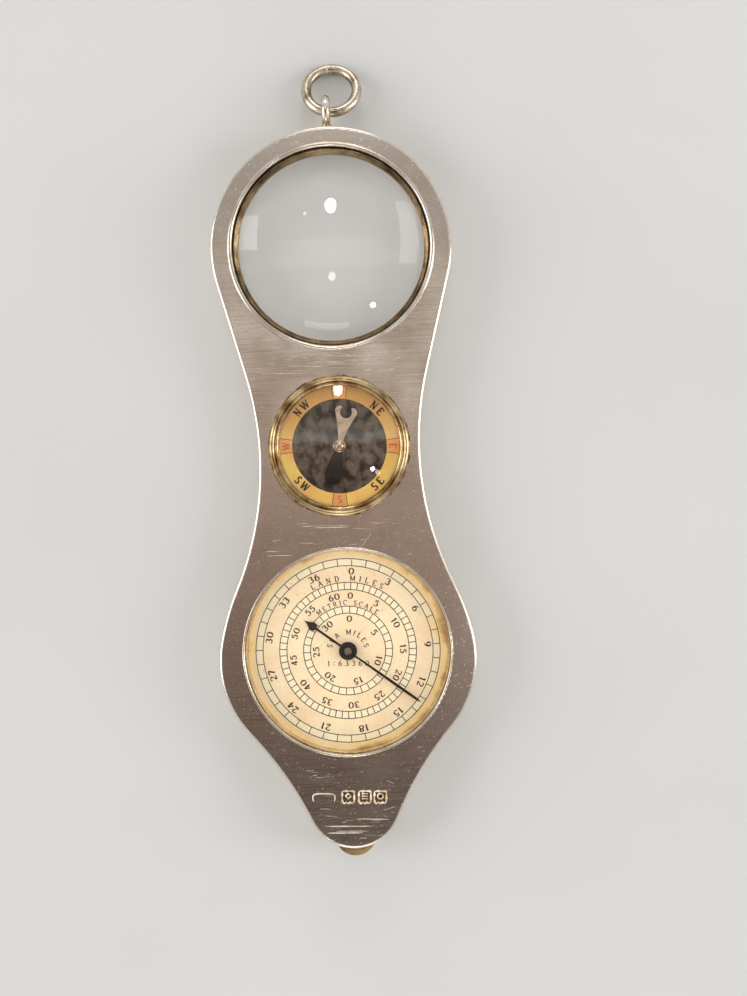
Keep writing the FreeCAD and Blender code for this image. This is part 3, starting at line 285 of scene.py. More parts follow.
def bentWord(text, high, radius, angle, axis, z, inward=False, **style):
    # bent round a circle at `radius`, the middle of the characters' height, `angle` clockwise from +Y:
    # x runs along the circle and y away from the centre, or towards it where the tops point inward
    flat, faces = word(text, high, **style)
    sign = -1 if inward else 1
    around = angle + sign * flat[:, 0] / radius
    away = radius + sign * (flat[:, 1] - high / 2)
    return flatSheet(onCircle(axis, away, math.pi / 2 - around), z), faces


# materials: patterns of noise, masks cut from a stretch of their values, and shades laid on by mask


def colour(hexa):
    # an sRGB hex value as the linear colour that a socket takes, by the sRGB curve
    parts = [int(hexa[i:i + 2], 16) / 255 for i in (1, 3, 5)]
    return tuple(c / 12.92 if c <= 0.04045 else ((c + 0.055) / 1.055) ** 2.4 for c in parts) + (1.0,)


def addNode(tree, kind, inputs, out=0, **settings):
    # an input takes a value, a hex colour or another node's output; the node's own output comes back
    node = tree.nodes.new("ShaderNode" + kind)
    for key, value in settings.items():
        setattr(node, key, value)
    for key, value in inputs.items():
        if isinstance(value, bpy.types.NodeSocket):
            tree.links.new(value, node.inputs[key])
        else:
            node.inputs[key].default_value = colour(value) if isinstance(value, str) else value
    return node.outputs[out] if len(node.outputs) else node


# settings of a mix of colours, whose inputs are 6 and 7 and output 2; a mix of numbers has 2, 3 and 0
shades = {"out": 2, "data_type": "RGBA"}


def stretch(pattern, low, high, least=0.0, most=1.0):
    # inputs of a range node: the pattern's values from low to high become least to most
    return {0: pattern, 1: low, 2: high, 3: least, 4: most}


def newMaterial(name):
    # an empty material and its tree of nodes
    material = bpy.data.materials.new(name)
    material.use_nodes = True
    material.node_tree.nodes.clear()
    return material, material.node_tree


def finishMaterial(tree, inputs, height=None, depth=0.0, strength=0.5):
    # the surface itself, with a relief `depth` millimetres deep where a height pattern is given
    if height is not None:
        bump = addNode(tree, "Bump", {"Height": height, "Strength": strength, "Distance": depth * mm})
        inputs = {**inputs, "Normal": bump}
    addNode(tree, "OutputMaterial", {"Surface": addNode(tree, "BsdfPrincipled", inputs)})


def grain(tree, size, turn=0.0, shift=0.0, detail=2.0):
    # noise whose grain measures `size` millimetres, one number or one along each axis, turned about z
    place = addNode(tree, "TexCoord", {}, out="Object")
    spread = addNode(tree, "Mapping", {
        "Vector": place, "Location": (shift * mm,) * 3, "Rotation": (0, 0, turn),
        "Scale": tuple(s * mm for s in np.broadcast_to(size, 3).tolist())}, vector_type="TEXTURE")
    return addNode(tree, "TexNoise", {"Vector": spread, "Scale": 1.0, "Detail": detail})


def distanceFrom(tree, axis):
    # distance from an upright axis, in millimetres
    place = addNode(tree, "TexCoord", {}, out="Object")
    flat = addNode(tree, "VectorMath", {0: place, 1: (1 / mm, 1 / mm, 0)}, operation="MULTIPLY")
    moved = addNode(tree, "VectorMath", {0: flat, 1: (*axis, 0)}, operation="SUBTRACT")
    return addNode(tree, "VectorMath", {0: moved}, out="Value", operation="LENGTH")


# in the dictionaries of the finishes, sizes are in millimetres, and a mask is written as the stretch
# of its pattern's values that counts, then its least and most effect. Wiping lines, turning marks,
# knocks and paper fibres are finer on the real thing, and are drawn as coarse as they need to show

silver = {
    "clean": "#e6dfd6", "toned": "#cdc1b2", "hair": "#a4917c", "dirt": "#54453a", "polished": "#f8efdf",
    # rubbing lines run across the case
    "hairSize": (9.0, 0.18, 4.0), "cloudSize": 7.0, "speckSize": 0.35, "fineSize": (0.4, 0.2, 0.2),
    # by how far the surface faces up: rounded edges are rubbed bright, the upright band less so
    "rounded": (0.95, 0.6, 0.0, 0.9), "standing": (0.0, 0.3, 0.35, 1.0),
    "nicked": (0.62, 0.70, 0.0, 0.9), "patches": (0.36, 0.66), "wiped": (0.40, 0.62, 0.12, 0.42),
    "mottle": (0.40, 0.66, 0.0, 0.45), "knocks": (0.65, 0.77, 0.0, 0.8),
    # their most is the wiping's
    "lines": (0.50, 0.68, 0.0), "glints": (0.42, 0.28, 0.0),
    # share of the second pattern in the wear and in the relief, and the roughness that the wear gives
    "wear": 0.45, "relief": 0.4, "rough": (0.36, 0.62, 0.17, 0.26), "knockRough": 0.38, "depth": 0.0012,
}


def rolledSilver():
    # sterling silver sheet, rolled, planished and long handled: a warm grey mirror, dimmed by wiping
    # lines across the case and patches of tone, sparkling with tiny knocks, its edges rubbed bright
    material, tree = newMaterial("rolled_silver_worn")
    hair = grain(tree, silver["hairSize"], detail=3.0)
    cloud = grain(tree, silver["cloudSize"], detail=6.0)
    speck = grain(tree, silver["speckSize"], shift=7.0)
    fine = grain(tree, silver["fineSize"], shift=3.0)
    upward = addNode(tree, "SeparateXYZ", {0: addNode(tree, "TexCoord", {}, out="Normal")}, out="Z")
    patterns = {"rounded": upward, "standing": upward, "nicked": speck, "patches": cloud, "wiped": cloud,
                "mottle": fine, "knocks": speck}
    mask = {name: addNode(tree, "MapRange", stretch(pattern, *silver[name]))
            for name, pattern in patterns.items()}
    for name in ("lines", "glints"):
        mask[name] = addNode(tree, "MapRange", stretch(hair, *silver[name], mask["wiped"]))
    for name, one, other in (("rubbed", "rounded", "standing"), ("dirty", "rubbed", "nicked")):
        mask[name] = addNode(tree, "Math", {0: mask[one], 1: mask[other]}, operation="MULTIPLY")
    tone = silver["clean"]
    for name, shade in (("patches", "toned"), ("lines", "hair"), ("glints", "polished"), ("mottle", "toned"),
                        ("knocks", "polished"), ("rubbed", "polished"), ("dirty", "dirt")):
        tone = addNode(tree, "Mix", {0: mask[name], 6: tone, 7: silver[shade]}, **shades)
    wear = addNode(tree, "Mix", {0: silver["wear"], 2: hair, 3: cloud})
    rough = addNode(tree, "MapRange", stretch(wear, *silver["rough"]))
    rough = addNode(tree, "Mix", {0: mask["knocks"], 2: rough, 3: silver["knockRough"]})
    height = addNode(tree, "Mix", {0: silver["relief"], 2: hair, 3: speck})
    finishMaterial(tree, {"Metallic": 1.0, "Base Color": tone, "Roughness": rough}, height, silver["depth"])
    return material


turnedWork = {"cloudSize": (3.0, 3.0, 1.5), "speckSize": 0.4, "patches": (0.38, 0.66),
              "spots": (0.60, 0.72, 0.0, 0.6), "wear": 0.4, "rough": (0.38, 0.62)}


def turnedMetal(name, axis, light, dark, smooth, dull, pitch=0.12, depth=0.003):
    # metal turned on a lathe: fine rings round its axis catch the light, tone gathers in patches;
    # the rings are noise of one dimension, read along the distance from the axis
    material, tree = newMaterial(name)
    away = addNode(tree, "Math", {0: distanceFrom(tree, axis), 1: pitch}, operation="DIVIDE")
    rings = addNode(tree, "TexNoise", {"W": away, "Scale": 1.0, "Detail": 2.0}, noise_dimensions="1D")
    cloud = grain(tree, turnedWork["cloudSize"], detail=4.0)
    speck = grain(tree, turnedWork["speckSize"], detail=3.0, shift=5.0)
    tone = light
    for key, pattern in (("patches", cloud), ("spots", speck)):
        amount = addNode(tree, "MapRange", stretch(pattern, *turnedWork[key]))
        tone = addNode(tree, "Mix", {0: amount, 6: tone, 7: dark}, **shades)
    wear = addNode(tree, "Mix", {0: turnedWork["wear"], 2: rings, 3: speck})
    rough = addNode(tree, "MapRange", stretch(wear, *turnedWork["rough"], smooth, dull))
    finishMaterial(tree, {"Metallic": 1.0, "Base Color": tone, "Roughness": rough}, rings, depth)
    return material


knockedWork = {"cloudGrowth": 4, "patches": (0.40, 0.66), "rough": (0.35, 0.68)}


def knockedMetal(name, light, dark, smooth, dull, size, depth):
    # drawn, stamped or soldered metal that handling has knocked: bright with dark in its dents,
    # which measure `size` and `depth` millimetres
    material, tree = newMaterial(name)
    cloud = grain(tree, size * knockedWork["cloudGrowth"], detail=5.0)
    speck = grain(tree, size, detail=3.0, shift=4.0)
    patches = addNode(tree, "MapRange", stretch(cloud, *knockedWork["patches"]))
    tone = addNode(tree, "Mix", {0: patches, 6: light, 7: dark}, **shades)
    rough = addNode(tree, "MapRange", stretch(speck, *knockedWork["rough"], smooth, dull))
    finishMaterial(tree, {"Metallic": 1.0, "Base Color": tone, "Roughness": rough}, speck, depth)
    return material


stonedWork = {"rubbingSize": (2.5, 0.12, 1.0), "turn": 0.3, "cloudSize": 1.8, "patches": (0.38, 0.66),
              "rough": (0.35, 0.65), "depth": 0.002, "strength": 0.4}


def stonedSheet(name, light, dark, smooth, dull, metallic=1.0):
    # thin steel or brass sheet, stoned flat: short straight rubbing marks
    material, tree = newMaterial(name)
    rubbing = grain(tree, stonedWork["rubbingSize"], turn=stonedWork["turn"], detail=3.0)
    cloud = grain(tree, stonedWork["cloudSize"], detail=4.0, shift=2.0)
    patches = addNode(tree, "MapRange", stretch(cloud, *stonedWork["patches"]))
    tone = addNode(tree, "Mix", {0: patches, 6: light, 7: dark}, **shades)
    rough = addNode(tree, "MapRange", stretch(rubbing, *stonedWork["rough"], smooth, dull))
    finishMaterial(tree, {"Metallic": metallic, "Base Color": tone, "Roughness": rough}, rubbing,
                   stonedWork["depth"], stonedWork["strength"])
    return material


crownGlass = {"smearSize": 5.0, "speckSize": 0.35, "film": (0.5, 0.8, 0.0), "specks": (0.72, 0.78, 0.0, 0.25),
              "index": 1.52, "shadow": "#fcfcfc"}


def clearGlass(name, tint, dust):
    # optical crown glass, ground and polished: clear, faintly scratched, with specks of dust.
    # lamps shine through it, so what lies below keeps its light
    material, tree = newMaterial(name)
    smear = grain(tree, crownGlass["smearSize"], detail=5.0)
    speck = grain(tree, crownGlass["speckSize"], shift=2.0)
    film = addNode(tree, "MapRange", stretch(smear, *crownGlass["film"], dust))
    specks = addNode(tree, "MapRange", stretch(speck, *crownGlass["specks"]))
    rough = addNode(tree, "Math", {0: film, 1: specks}, operation="ADD")
    glass = addNode(tree, "BsdfPrincipled", {
        "Base Color": tint, "Transmission Weight": 1.0, "IOR": crownGlass["index"], "Roughness": rough})
    clear = addNode(tree, "BsdfTransparent", {"Color": crownGlass["shadow"]})
    shadow = addNode(tree, "LightPath", {}, out="Is Shadow Ray")
    both = addNode(tree, "MixShader", {0: shadow, 1: glass, 2: clear})
    addNode(tree, "OutputMaterial", {"Surface": both})
    return material


# radii of the two rings of each of the dial's scales, from the outer scale in
scaleRings = ((13.58, 14.71), (9.77, 10.92), (6.0, 7.11))

varnish = {"Coat Weight": 0.2, "Coat Roughness": 0.2}

dialCard = {
    "cream": "#f9e5c2", "rose": "#f6dab5", "pale": "#faeccd", "golden": "#fbd68c", "brown": "#91602e",
    "fox": "#cf9f6c", "rough": 0.42,
    "cloudSize": 6.0, "fibreSize": (0.5, 0.22, 0.3), "fibreTurn": 0.4, "spotSize": 0.9, "stainSize": 2.4,
    "patches": (0.40, 0.62), "fibres": (0.50, 0.75, 0.0, 0.22), "foxing": (0.70, 0.80, 0.0, 0.5),
    # what makes the browned edge ragged, in millimetres; it reaches further in on the east side
    "wander": (0.3, 0.7, -0.6, 0.6), "stain": (0.35, 0.7, -0.35, 0.7),
    "east": (-16 * mm, 16 * mm, -0.55, 0.55),
    # by that ragged distance from the axis: golden browning, then a brown at the very edge that is
    # partly painted shade
    "browning": (14.2, 16.0, 0.0, 0.85), "edge": (15.8, 16.8, 0.0, 0.8),
    "depth": 0.01, "strength": 0.4,
}


def agedDialCard():
    # printed card under old varnish: cream, paler between the scale rings, foxed, browned by damp
    # towards its edge, and darkest brown at the very edge, partly painted shade under the ring
    material, tree = newMaterial("dial_card_varnished")
    radius = distanceFrom(tree, dialAxis)
    cloud = grain(tree, dialCard["cloudSize"], detail=5.0)
    fibre = grain(tree, dialCard["fibreSize"], turn=dialCard["fibreTurn"], detail=3.0)
    spots = grain(tree, dialCard["spotSize"], detail=1.0, shift=6.0)
    stain = grain(tree, dialCard["stainSize"], detail=4.0, shift=11.0)
    across = addNode(tree, "SeparateXYZ", {0: addNode(tree, "TexCoord", {}, out="Object")}, out="X")
    patterns = {"patches": cloud, "fibres": fibre, "foxing": spots, "wander": cloud, "stain": stain,
                "east": across}
    mask = {name: addNode(tree, "MapRange", stretch(pattern, *dialCard[name]))
            for name, pattern in patterns.items()}
    ragged = radius
    for name in ("wander", "stain", "east"):
        ragged = addNode(tree, "Math", {0: ragged, 1: mask[name]}, operation="ADD")
    for name in ("browning", "edge"):
        mask[name] = addNode(tree, "MapRange", stretch(ragged, *dialCard[name]))
    layers = [(mask["patches"], "rose")]
    for low, high in scaleRings:
        above = addNode(tree, "Math", {0: radius, 1: low}, operation="GREATER_THAN")
        below = addNode(tree, "Math", {0: radius, 1: high}, operation="LESS_THAN")
        layers.append((addNode(tree, "Math", {0: above, 1: below}, operation="MULTIPLY"), "pale"))
    # the brown at the very edge is partly damp browning and partly painted shade where the card runs under
    # the ring
    layers += [(mask["fibres"], "fox"), (mask["foxing"], "fox"), (mask["browning"], "golden"),
               (mask["edge"], "brown")]
    tone = dialCard["cream"]
    for amount, shade in layers:
        tone = addNode(tree, "Mix", {0: amount, 6: tone, 7: dialCard[shade]}, **shades)
    finishMaterial(tree, {"Base Color": tone, "Roughness": dialCard["rough"], **varnish}, fibre,
                   dialCard["depth"], dialCard["strength"])
    return material


compassPaper = {
    "yellow": "#ffe07a", "orange": "#ffc163", "northBrown": "#c88c4c", "brown": "#b07232", "fibre": "#cc8236",
    "rough": 0.4, "cloudSize": 4.0, "fibreSize": (0.4, 0.2, 0.3), "fibreTurn": 0.9,
    "patches": (0.38, 0.64), "fibres": (0.52, 0.74, 0.0, 0.15),
    # along +Y, and outwards from the axis; the brown towards the rim is partly browning
    # and partly painted shade under the bezel
    "north": ((compassAxis[1] - 5.0) * mm, (compassAxis[1] + 9.0) * mm, 0.0, 0.85),
    "rim": (9.1, 9.6, 0.0, 0.45),
    "depth": 0.008, "strength": 0.4,
}


def compassCardPaper():
    # lithographed card ring: chrome yellow that has turned orange, darker brown towards north, and brown
    # towards its rim that is partly painted shade under the bezel
    material, tree = newMaterial("compass_card_yellow")
    cloud = grain(tree, compassPaper["cloudSize"], detail=5.0)
    fibre = grain(tree, compassPaper["fibreSize"], turn=compassPaper["fibreTurn"], detail=3.0)
    ahead = addNode(tree, "SeparateXYZ", {0: addNode(tree, "TexCoord", {}, out="Object")}, out="Y")
    tone = compassPaper["yellow"]
    away = distanceFrom(tree, compassAxis)
    # darker towards north; the brown at the rim is partly painted shade under the bezel
    for name, pattern, shade in (("patches", cloud, "orange"), ("north", ahead, "northBrown"),
                                 ("rim", away, "brown"), ("fibres", fibre, "fibre")):
        amount = addNode(tree, "MapRange", stretch(pattern, *compassPaper[name]))
        tone = addNode(tree, "Mix", {0: amount, 6: tone, 7: compassPaper[shade]}, **shades)
    finishMaterial(tree, {"Base Color": tone, "Roughness": compassPaper["rough"], **varnish}, fibre,
                   compassPaper["depth"], compassPaper["strength"])
    return material


printing = {"patchSize": 0.9, "thinning": (0.42, 0.66, 0.0), "rough": 0.55}


def printersInk(name, dense, thin, worn):
    # letterpress ink on card: dark and dry, thinner in places where the type pressed less
    material, tree = newMaterial(name)
    patch = grain(tree, printing["patchSize"], detail=4.0)
    thinning = addNode(tree, "MapRange", stretch(patch, *printing["thinning"], worn))
    tone = addNode(tree, "Mix", {0: thinning, 6: dense, 7: thin}, **shades)
    finishMaterial(tree, {"Base Color": tone, "Roughness": printing["rough"]})
    return material


lacquer = {"blotchLong": 1.3, "speckSize": 0.25, "film": (0.38, 0.62, 0.0, 0.9),
           "specks": (0.70, 0.80, 0.0, 0.6), "rough": (0.35, 0.7)}


def glossLacquer(name, shade, dustAndReflection, blotch, smooth=0.08, dull=0.22):
    # black stoving lacquer: a deep gloss, blotched grey-brown partly by a film of dust and old oil
    # and partly by painted reflection of the room
    material, tree = newMaterial(name)
    cloud = grain(tree, (blotch, blotch * lacquer["blotchLong"], blotch), detail=3.0)
    speck = grain(tree, lacquer["speckSize"], shift=3.0)
    tone = shade
    # the blotches and specks are dust, and on the compass ground also painted reflection
    for key, pattern in (("film", cloud), ("specks", speck)):
        amount = addNode(tree, "MapRange", stretch(pattern, *lacquer[key]))
        tone = addNode(tree, "Mix", {0: amount, 6: tone, 7: dustAndReflection}, **shades)
    rough = addNode(tree, "MapRange", stretch(cloud, *lacquer["rough"], smooth, dull))
    finishMaterial(tree, {"Base Color": tone, "Roughness": rough})
    return material


print("materials: making")
silverSheet = rolledSilver()
lensSilver = turnedMetal("silver_bezel_turned", lensAxis, "#efe6da", "#cdbda8", 0.14, 0.26)
dialSilver = turnedMetal("silver_dial_bezel", dialAxis, "#f1e8db", "#cfbfa8", 0.16, 0.28)
wireSilver = knockedMetal("silver_wire_drawn", "#f3ece0", "#b9a88f", 0.14, 0.30, 0.4, 0.015)
ringSilver = knockedMetal("silver_ring_toned", "#d3c5b0", "#86745d", 0.18, 0.34, 0.5, 0.02)
punchedSilver = knockedMetal("silver_punched_bright", "#fff6e6", "#d9c2a0", 0.38, 0.60, 0.3, 0.01)
punchedField = knockedMetal("silver_punched_tarnish", "#7d6042", "#3b2b1e", 0.35, 0.55, 0.25, 0.02)
giltBezel = turnedMetal("gilt_brass_bezel", compassAxis, "#ead2a0", "#86623a", 0.22, 0.34, 0.6, 0.0002)
giltFoot = knockedMetal("gilt_solder_foot", "#b39b7c", "#4d3b2b", 0.25, 0.50, 0.22, 0.03)
giltRetainer = turnedMetal("gilt_brass_retainer", lensAxis, "#9c8462", "#503e2b", 0.20, 0.40, 0.25)
workBrass = stonedSheet("brass_sheet_brushed", "#cfa65c", "#9a7234", 0.24, 0.42)
wheelBrass = turnedMetal("brass_wheel_patinated", wheelAxis, "#c9ab7a", "#7d6443", 0.36, 0.55)
capSteel = knockedMetal("needle_cap_polished", "#e6cfba", "#916c52", 0.10, 0.22, 0.6, 0.004)
brightSteel = stonedSheet("steel_polished", "#b9b3aa", "#8f877c", 0.20, 0.38)
needleSteel = stonedSheet("needle_steel_bright", "#dcc9b4", "#bda58e", 0.26, 0.42)
needleBlack = glossLacquer("needle_black_lacquer", "#070606", "#12100f", 1.5, 0.16, 0.30)
pointerBlack = stonedSheet("pointer_steel_blackened", "#15110f", "#221c19", 0.32, 0.50, metallic=0.4)
lensGlass = clearGlass("lens_crown_glass", "#fdfdfc", 0.03)
coverGlass = clearGlass("cover_glass_thin", "#fffefa", 0.04)
dialPaper = agedDialCard()
yellowPaper = compassCardPaper()
dialInk = printersInk("dial_ink_brown_black", "#261f19", "#544534", 0.5)
compassInk = printersInk("compass_ink_black", "#1f130c", "#4a2f14", 0.3)
compassRed = printersInk("compass_blocks_red", "#f4a65c", "#f8b863", 0.6)
compassRedInk = printersInk("compass_letters_red", "#d2673a", "#e08246", 0.4)
# the ground's grey-brown blotches are partly painted reflection
blackGround = glossLacquer("black_ground_lacquer", "#2a2523", "#6b6057", 1.3)

dressing = {
    silverSheet: ("front_cover", "back_cover", "screw_posts", "lens_collar"),
    lensSilver: ("lens_bezel",),
    dialSilver: ("dial_bezel", "dial_inner_ring"),
    wireSilver: ("pendant_eyelet",),
    ringSilver: ("pendant_ring",),
    giltBezel: ("compass_bezel", "compass_distance_ring"),
    giltRetainer: ("lens_retainer",),
    workBrass: ("compass_bowl", "dial_plate", "movement_front_plate", "movement_back_plate",
                "movement_pillars", "movement_posts", "front_bushes", "back_bushes", "centre_wheel",
                "second_wheel", "first_wheel", "needle_cap"),
    wheelBrass: ("tracing_wheel",),
    brightSteel: ("case_screws", "compass_pivot", "plate_screws", "movement_screws", "centre_arbor",
                  "second_arbor", "first_arbor", "tracing_arbor"),
    needleSteel: ("compass_needle",),
    pointerBlack: ("pointer_hand",),
    lensGlass: ("lens_glass",),
    coverGlass: ("compass_crystal", "dial_crystal"),
    dialPaper: ("dial_card",),
    yellowPaper: ("compass_card",),
    blackGround: ("compass_ground",),
}
for material, names in dressing.items():
    for name in names:
        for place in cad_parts[name].material_slots:
            place.material = material
print("materials: done,", len(dressing), "finishes on the frame")


dialPrint = {
    # the print's turn from the case's line, and the shares of it that the words and the ratio have
    "turn": math.radians(4.7), "wordTurn": 0.3, "ratioTurn": 0.4,
    "lift": 0.012, "tickLift": 0.001, "line": 0.13,
    # from the outer scale in: divisions in a turn, number step, number radius and height
    "scales": (
        {"divisions": 39, "step": 3, "numberRadius": 12.72, "high": 1.0},
        {"divisions": 63, "step": 5, "numberRadius": 8.80, "high": 0.94},
        {"divisions": 34, "step": 5, "numberRadius": 5.10, "high": 0.94},
    ),
    "numberStyle": {"spacing": 0.18, "fat": 0.20, "thin": 0.13, "wide": 1.28},
    "words": (
        {"text": "LAND MILES", "radius": 11.60, "high": 0.84, "spacing": 0.72},
        {"text": "METRIC SCALE", "radius": 7.70, "high": 0.76, "spacing": 0.44},
        {"text": "SEA MILES", "radius": 3.0, "high": 0.80, "spacing": 0.50},
    ),
    "wordStyle": {"fat": 0.18, "thin": 0.12, "wide": 1.1},
    "ratio": {"text": "1:63360", "y": -2.45, "high": 0.80, "spacing": 0.62},
}


def printDial():
    # three scales that count one way round, their numbers inside them, their names over the middle
    z, turn, line = dialTop + dialPrint["lift"], dialPrint["turn"], dialPrint["line"]
    parts = []
    for (inner, outer), scale in zip(scaleRings, dialPrint["scales"]):
        angles = turn + tau * np.arange(scale["divisions"]) / scale["divisions"]
        parts += [printedRing(radius, line, dialAxis, z) for radius in (inner, outer)]
        parts.append(printedTicks(inner, outer, line, angles, dialAxis, z + dialPrint["tickLift"]))
        for number in range(0, scale["divisions"] - scale["step"] // 2, scale["step"]):
            parts.append(bentWord(str(number), scale["high"], scale["numberRadius"], angles[number], dialAxis,
                                  z, **dialPrint["numberStyle"]))
    for words in dialPrint["words"]:
        parts.append(bentWord(words["text"], words["high"], words["radius"], turn * dialPrint["wordTurn"],
                              dialAxis, z, spacing=words["spacing"], **dialPrint["wordStyle"]))
    ratio = dialPrint["ratio"]
    flat, faces = word(ratio["text"], ratio["high"], spacing=ratio["spacing"], **dialPrint["wordStyle"])
    points = flatSheet(flat + [0, ratio["y"]], z)
    parts.append((rotated(points, dialAxis, turn * dialPrint["ratioTurn"]), faces))
    makePiece("dial_print", *joined(parts), dialInk, "dial_paper", smooth=False)


printDial()
print("dial: printed")


compassPrint = {
    "turn": math.radians(2.0), "lift": 0.012, "blockDrop": 0.004, "middle": 8.45,
    "blockHalf": math.radians(7.4), "blockRadii": (7.55, 9.42), "blockSteps": 12, "line": 0.09,
    "corners": (("NE", 45, False), ("SE", 135, True), ("SW", 225, True), ("NW", 315, False)),
    "cornerStyle": {"high": 1.22, "spacing": 0.42, "fat": 0.25, "thin": 0.16},
    "points": (("N", 0), ("E", 90), ("S", 180), ("W", 270)),
    "pointStyle": {"high": 1.1, "fat": 0.22, "thin": 0.13},
}


def printCompass():
    # the four points in red on redder blocks between thin lines, the corners between them in black;
    # the letters of the lower corners stand with their tops inward
    z, turn, steps = compassTop + compassPrint["lift"], compassPrint["turn"], compassPrint["blockSteps"]
    inner, outer = compassPrint["blockRadii"]
    place = {"radius": compassPrint["middle"], "axis": compassAxis, "z": z}
    blocks, lines, letters, redLetters = [], [], [], []
    for text, degrees in compassPrint["points"]:
        middle = turn + math.radians(degrees)
        edges = [middle - compassPrint["blockHalf"], middle + compassPrint["blockHalf"]]
        around = np.linspace(*edges, steps)[:, None]
        flat = onCircle(compassAxis, np.array([[outer, inner]]), math.pi / 2 - around).reshape(-1, 2)
        blocks.append((flatSheet(flat, z - compassPrint["blockDrop"]), gridFaces(steps, 2)))
        lines.append(printedTicks(inner, outer, compassPrint["line"], edges, compassAxis, z))
        redLetters.append(bentWord(text, angle=middle, **place, **compassPrint["pointStyle"]))
    for text, degrees, inward in compassPrint["corners"]:
        letters.append(bentWord(text, angle=turn + math.radians(degrees), inward=inward, **place,
                                **compassPrint["cornerStyle"]))
    for name, parts, ink in (("compass_blocks", blocks, compassRed),
                             ("compass_print", lines + letters, compassInk),
                             ("compass_points", redLetters, compassRedInk)):
        makePiece(name, *joined(parts), ink, "compass_paper", smooth=False)


printCompass()
print("compass: printed")


needle = {
    "turn": math.radians(13.4), "middle": middleOf("compass_needle")[2], "halfThick": 0.075,
    # where both halves start from the axis, and where and how the blade widens towards its eye
    "start": 0.55, "neck": 0.42, "widensFrom": 1.0, "widening": 1.3,
    "eye": 5.42, "eyeInner": 0.95, "eyeOuter": 1.74, "lap": 0.02,
    # the horns' tips, over the eye's middle: where the inner and outer edges leave the circles,
    # how high the tip stands, and how far from the axis
    "hornInnerFrom": 0.50, "hornOuterFrom": 0.28, "hornTop": 0.88, "hornTip": 1.10, "hornHook": 0.70,
    # the leaf is widest at a share of its length
    "tailLong": 6.3, "tailNeck": 0.5, "tailHalf": 1.38, "tailWidest": 0.74,
    # the cap's section as (radius, height over its foot), washer and step, then its dome
    "capFoot": 5.95,
    "capRim": ((0.001, 0.0), (0.9, 0.0), (1.0, 0.06), (1.0, 0.22), (0.92, 0.30), (0.82, 0.31)),
    "domeRadius": 0.78, "domeFoot": 0.32, "domeHigh": 0.51, "domeTop": 0.001,
}


def bladeHalf(y):
    # half the blade's width at y: it grows by a power of the way from the neck to the eye's outer radius
    t = np.clip((y - needle["widensFrom"]) / (needle["eye"] - needle["widensFrom"]), 0, 1)
    return needle["neck"] + (needle["eyeOuter"] - needle["neck"]) * t ** needle["widening"]


def roundEnd(v, start, top):
    # 1 at the start of a rounded end and 0 at its top, a quarter ellipse between them
    return np.sqrt(np.clip(1 - (np.maximum(v - start, 0) / (top - start)) ** 2, 0, 1))


def northHalf(bladeSteps=30, hornSteps=60):
    # a blade that widens to an open eye: below the eye one bar, beside it one bar to each side,
    # whose edges are the eye's two circles and close in a round horn
    inner, outer, eye = needle["eyeInner"], needle["eyeOuter"], needle["eye"]
    top, tip, level = needle["hornTop"], needle["hornTip"], (needle["middle"], needle["halfThick"])
    y = np.linspace(needle["start"], eye - inner + needle["lap"], bladeSteps)
    parts = [bar(y, bladeHalf(y), *level)]
    v = -inner + (top + inner) * (1 - np.cos(np.linspace(0, math.pi, hornSteps))) / 2
    hole = np.sqrt(np.maximum(inner ** 2 - v ** 2, 0))
    hook = roundEnd(v, needle["hornInnerFrom"], top)
    inside = np.where(v < needle["hornInnerFrom"], hole, tip - (tip - needle["hornHook"]) * hook)
    circle = np.where(v < 0, bladeHalf(eye + v), np.sqrt(np.maximum(outer ** 2 - v ** 2, 0)))
    outside = tip + (circle - tip) * roundEnd(v, needle["hornOuterFrom"], top)
    for side in (1, -1):
        parts.append(bar(eye + v, (outside - inside) / 2, *level, middle=side * (inside + outside) / 2))
    return joined(parts)


def southHalf(steps=50):
    # a leaf: its half width grows as a sine to the widest place, then closes as a quarter ellipse
    t = np.linspace(0, 1, steps)
    y = -needle["start"] - (needle["tailLong"] - needle["start"]) * t
    neck, half, widest = needle["tailNeck"], needle["tailHalf"], needle["tailWidest"]
    sides = neck + (half - neck) * np.sin(math.pi / 2 * np.clip(t / widest, 0, 1))
    return bar(y, sides * roundEnd(t, widest, 1.0), needle["middle"], needle["halfThick"])


def quarter(radius, height, across, up, steps):
    # corners on a quarter ellipse of a section, from its outermost point to its highest
    a = np.linspace(0, math.pi / 2, steps)
    return np.stack([radius + across * np.cos(a), height + up * np.sin(a)], axis=-1).tolist()


def needleCap():
    # washer, step and a dome whose section is a quarter ellipse, turned
    foot, high = needle["capFoot"], needle["domeFoot"] + needle["domeHigh"]
    rim = [(radius, foot + height) for radius, height in needle["capRim"]]
    dome = quarter(0, foot + needle["domeFoot"], needle["domeRadius"], needle["domeHigh"], steps=12)
    return turned(rim + dome[:-1] + [(needle["domeTop"], foot + high)], compassAxis, steps=64)


def addNeedle():
    # both halves are laid out along Y and turned to where the needle points at rest
    points, faces = northHalf()
    points = rotated(points, compassAxis, needle["turn"])
    north = makePiece("needle_north", points, faces, needleSteel, "steel", "needle")
    points, faces = southHalf()
    points = rotated(points, compassAxis, needle["turn"])
    makePiece("needle_south", points, faces, needleBlack, "blackened_steel", "needle")
    cap = makePiece("needle_hub", *needleCap(), capSteel, "brass", "needle")
    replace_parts(north, "compass_needle")
    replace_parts(cap, "needle_cap")


addNeedle()
print("needle: made")


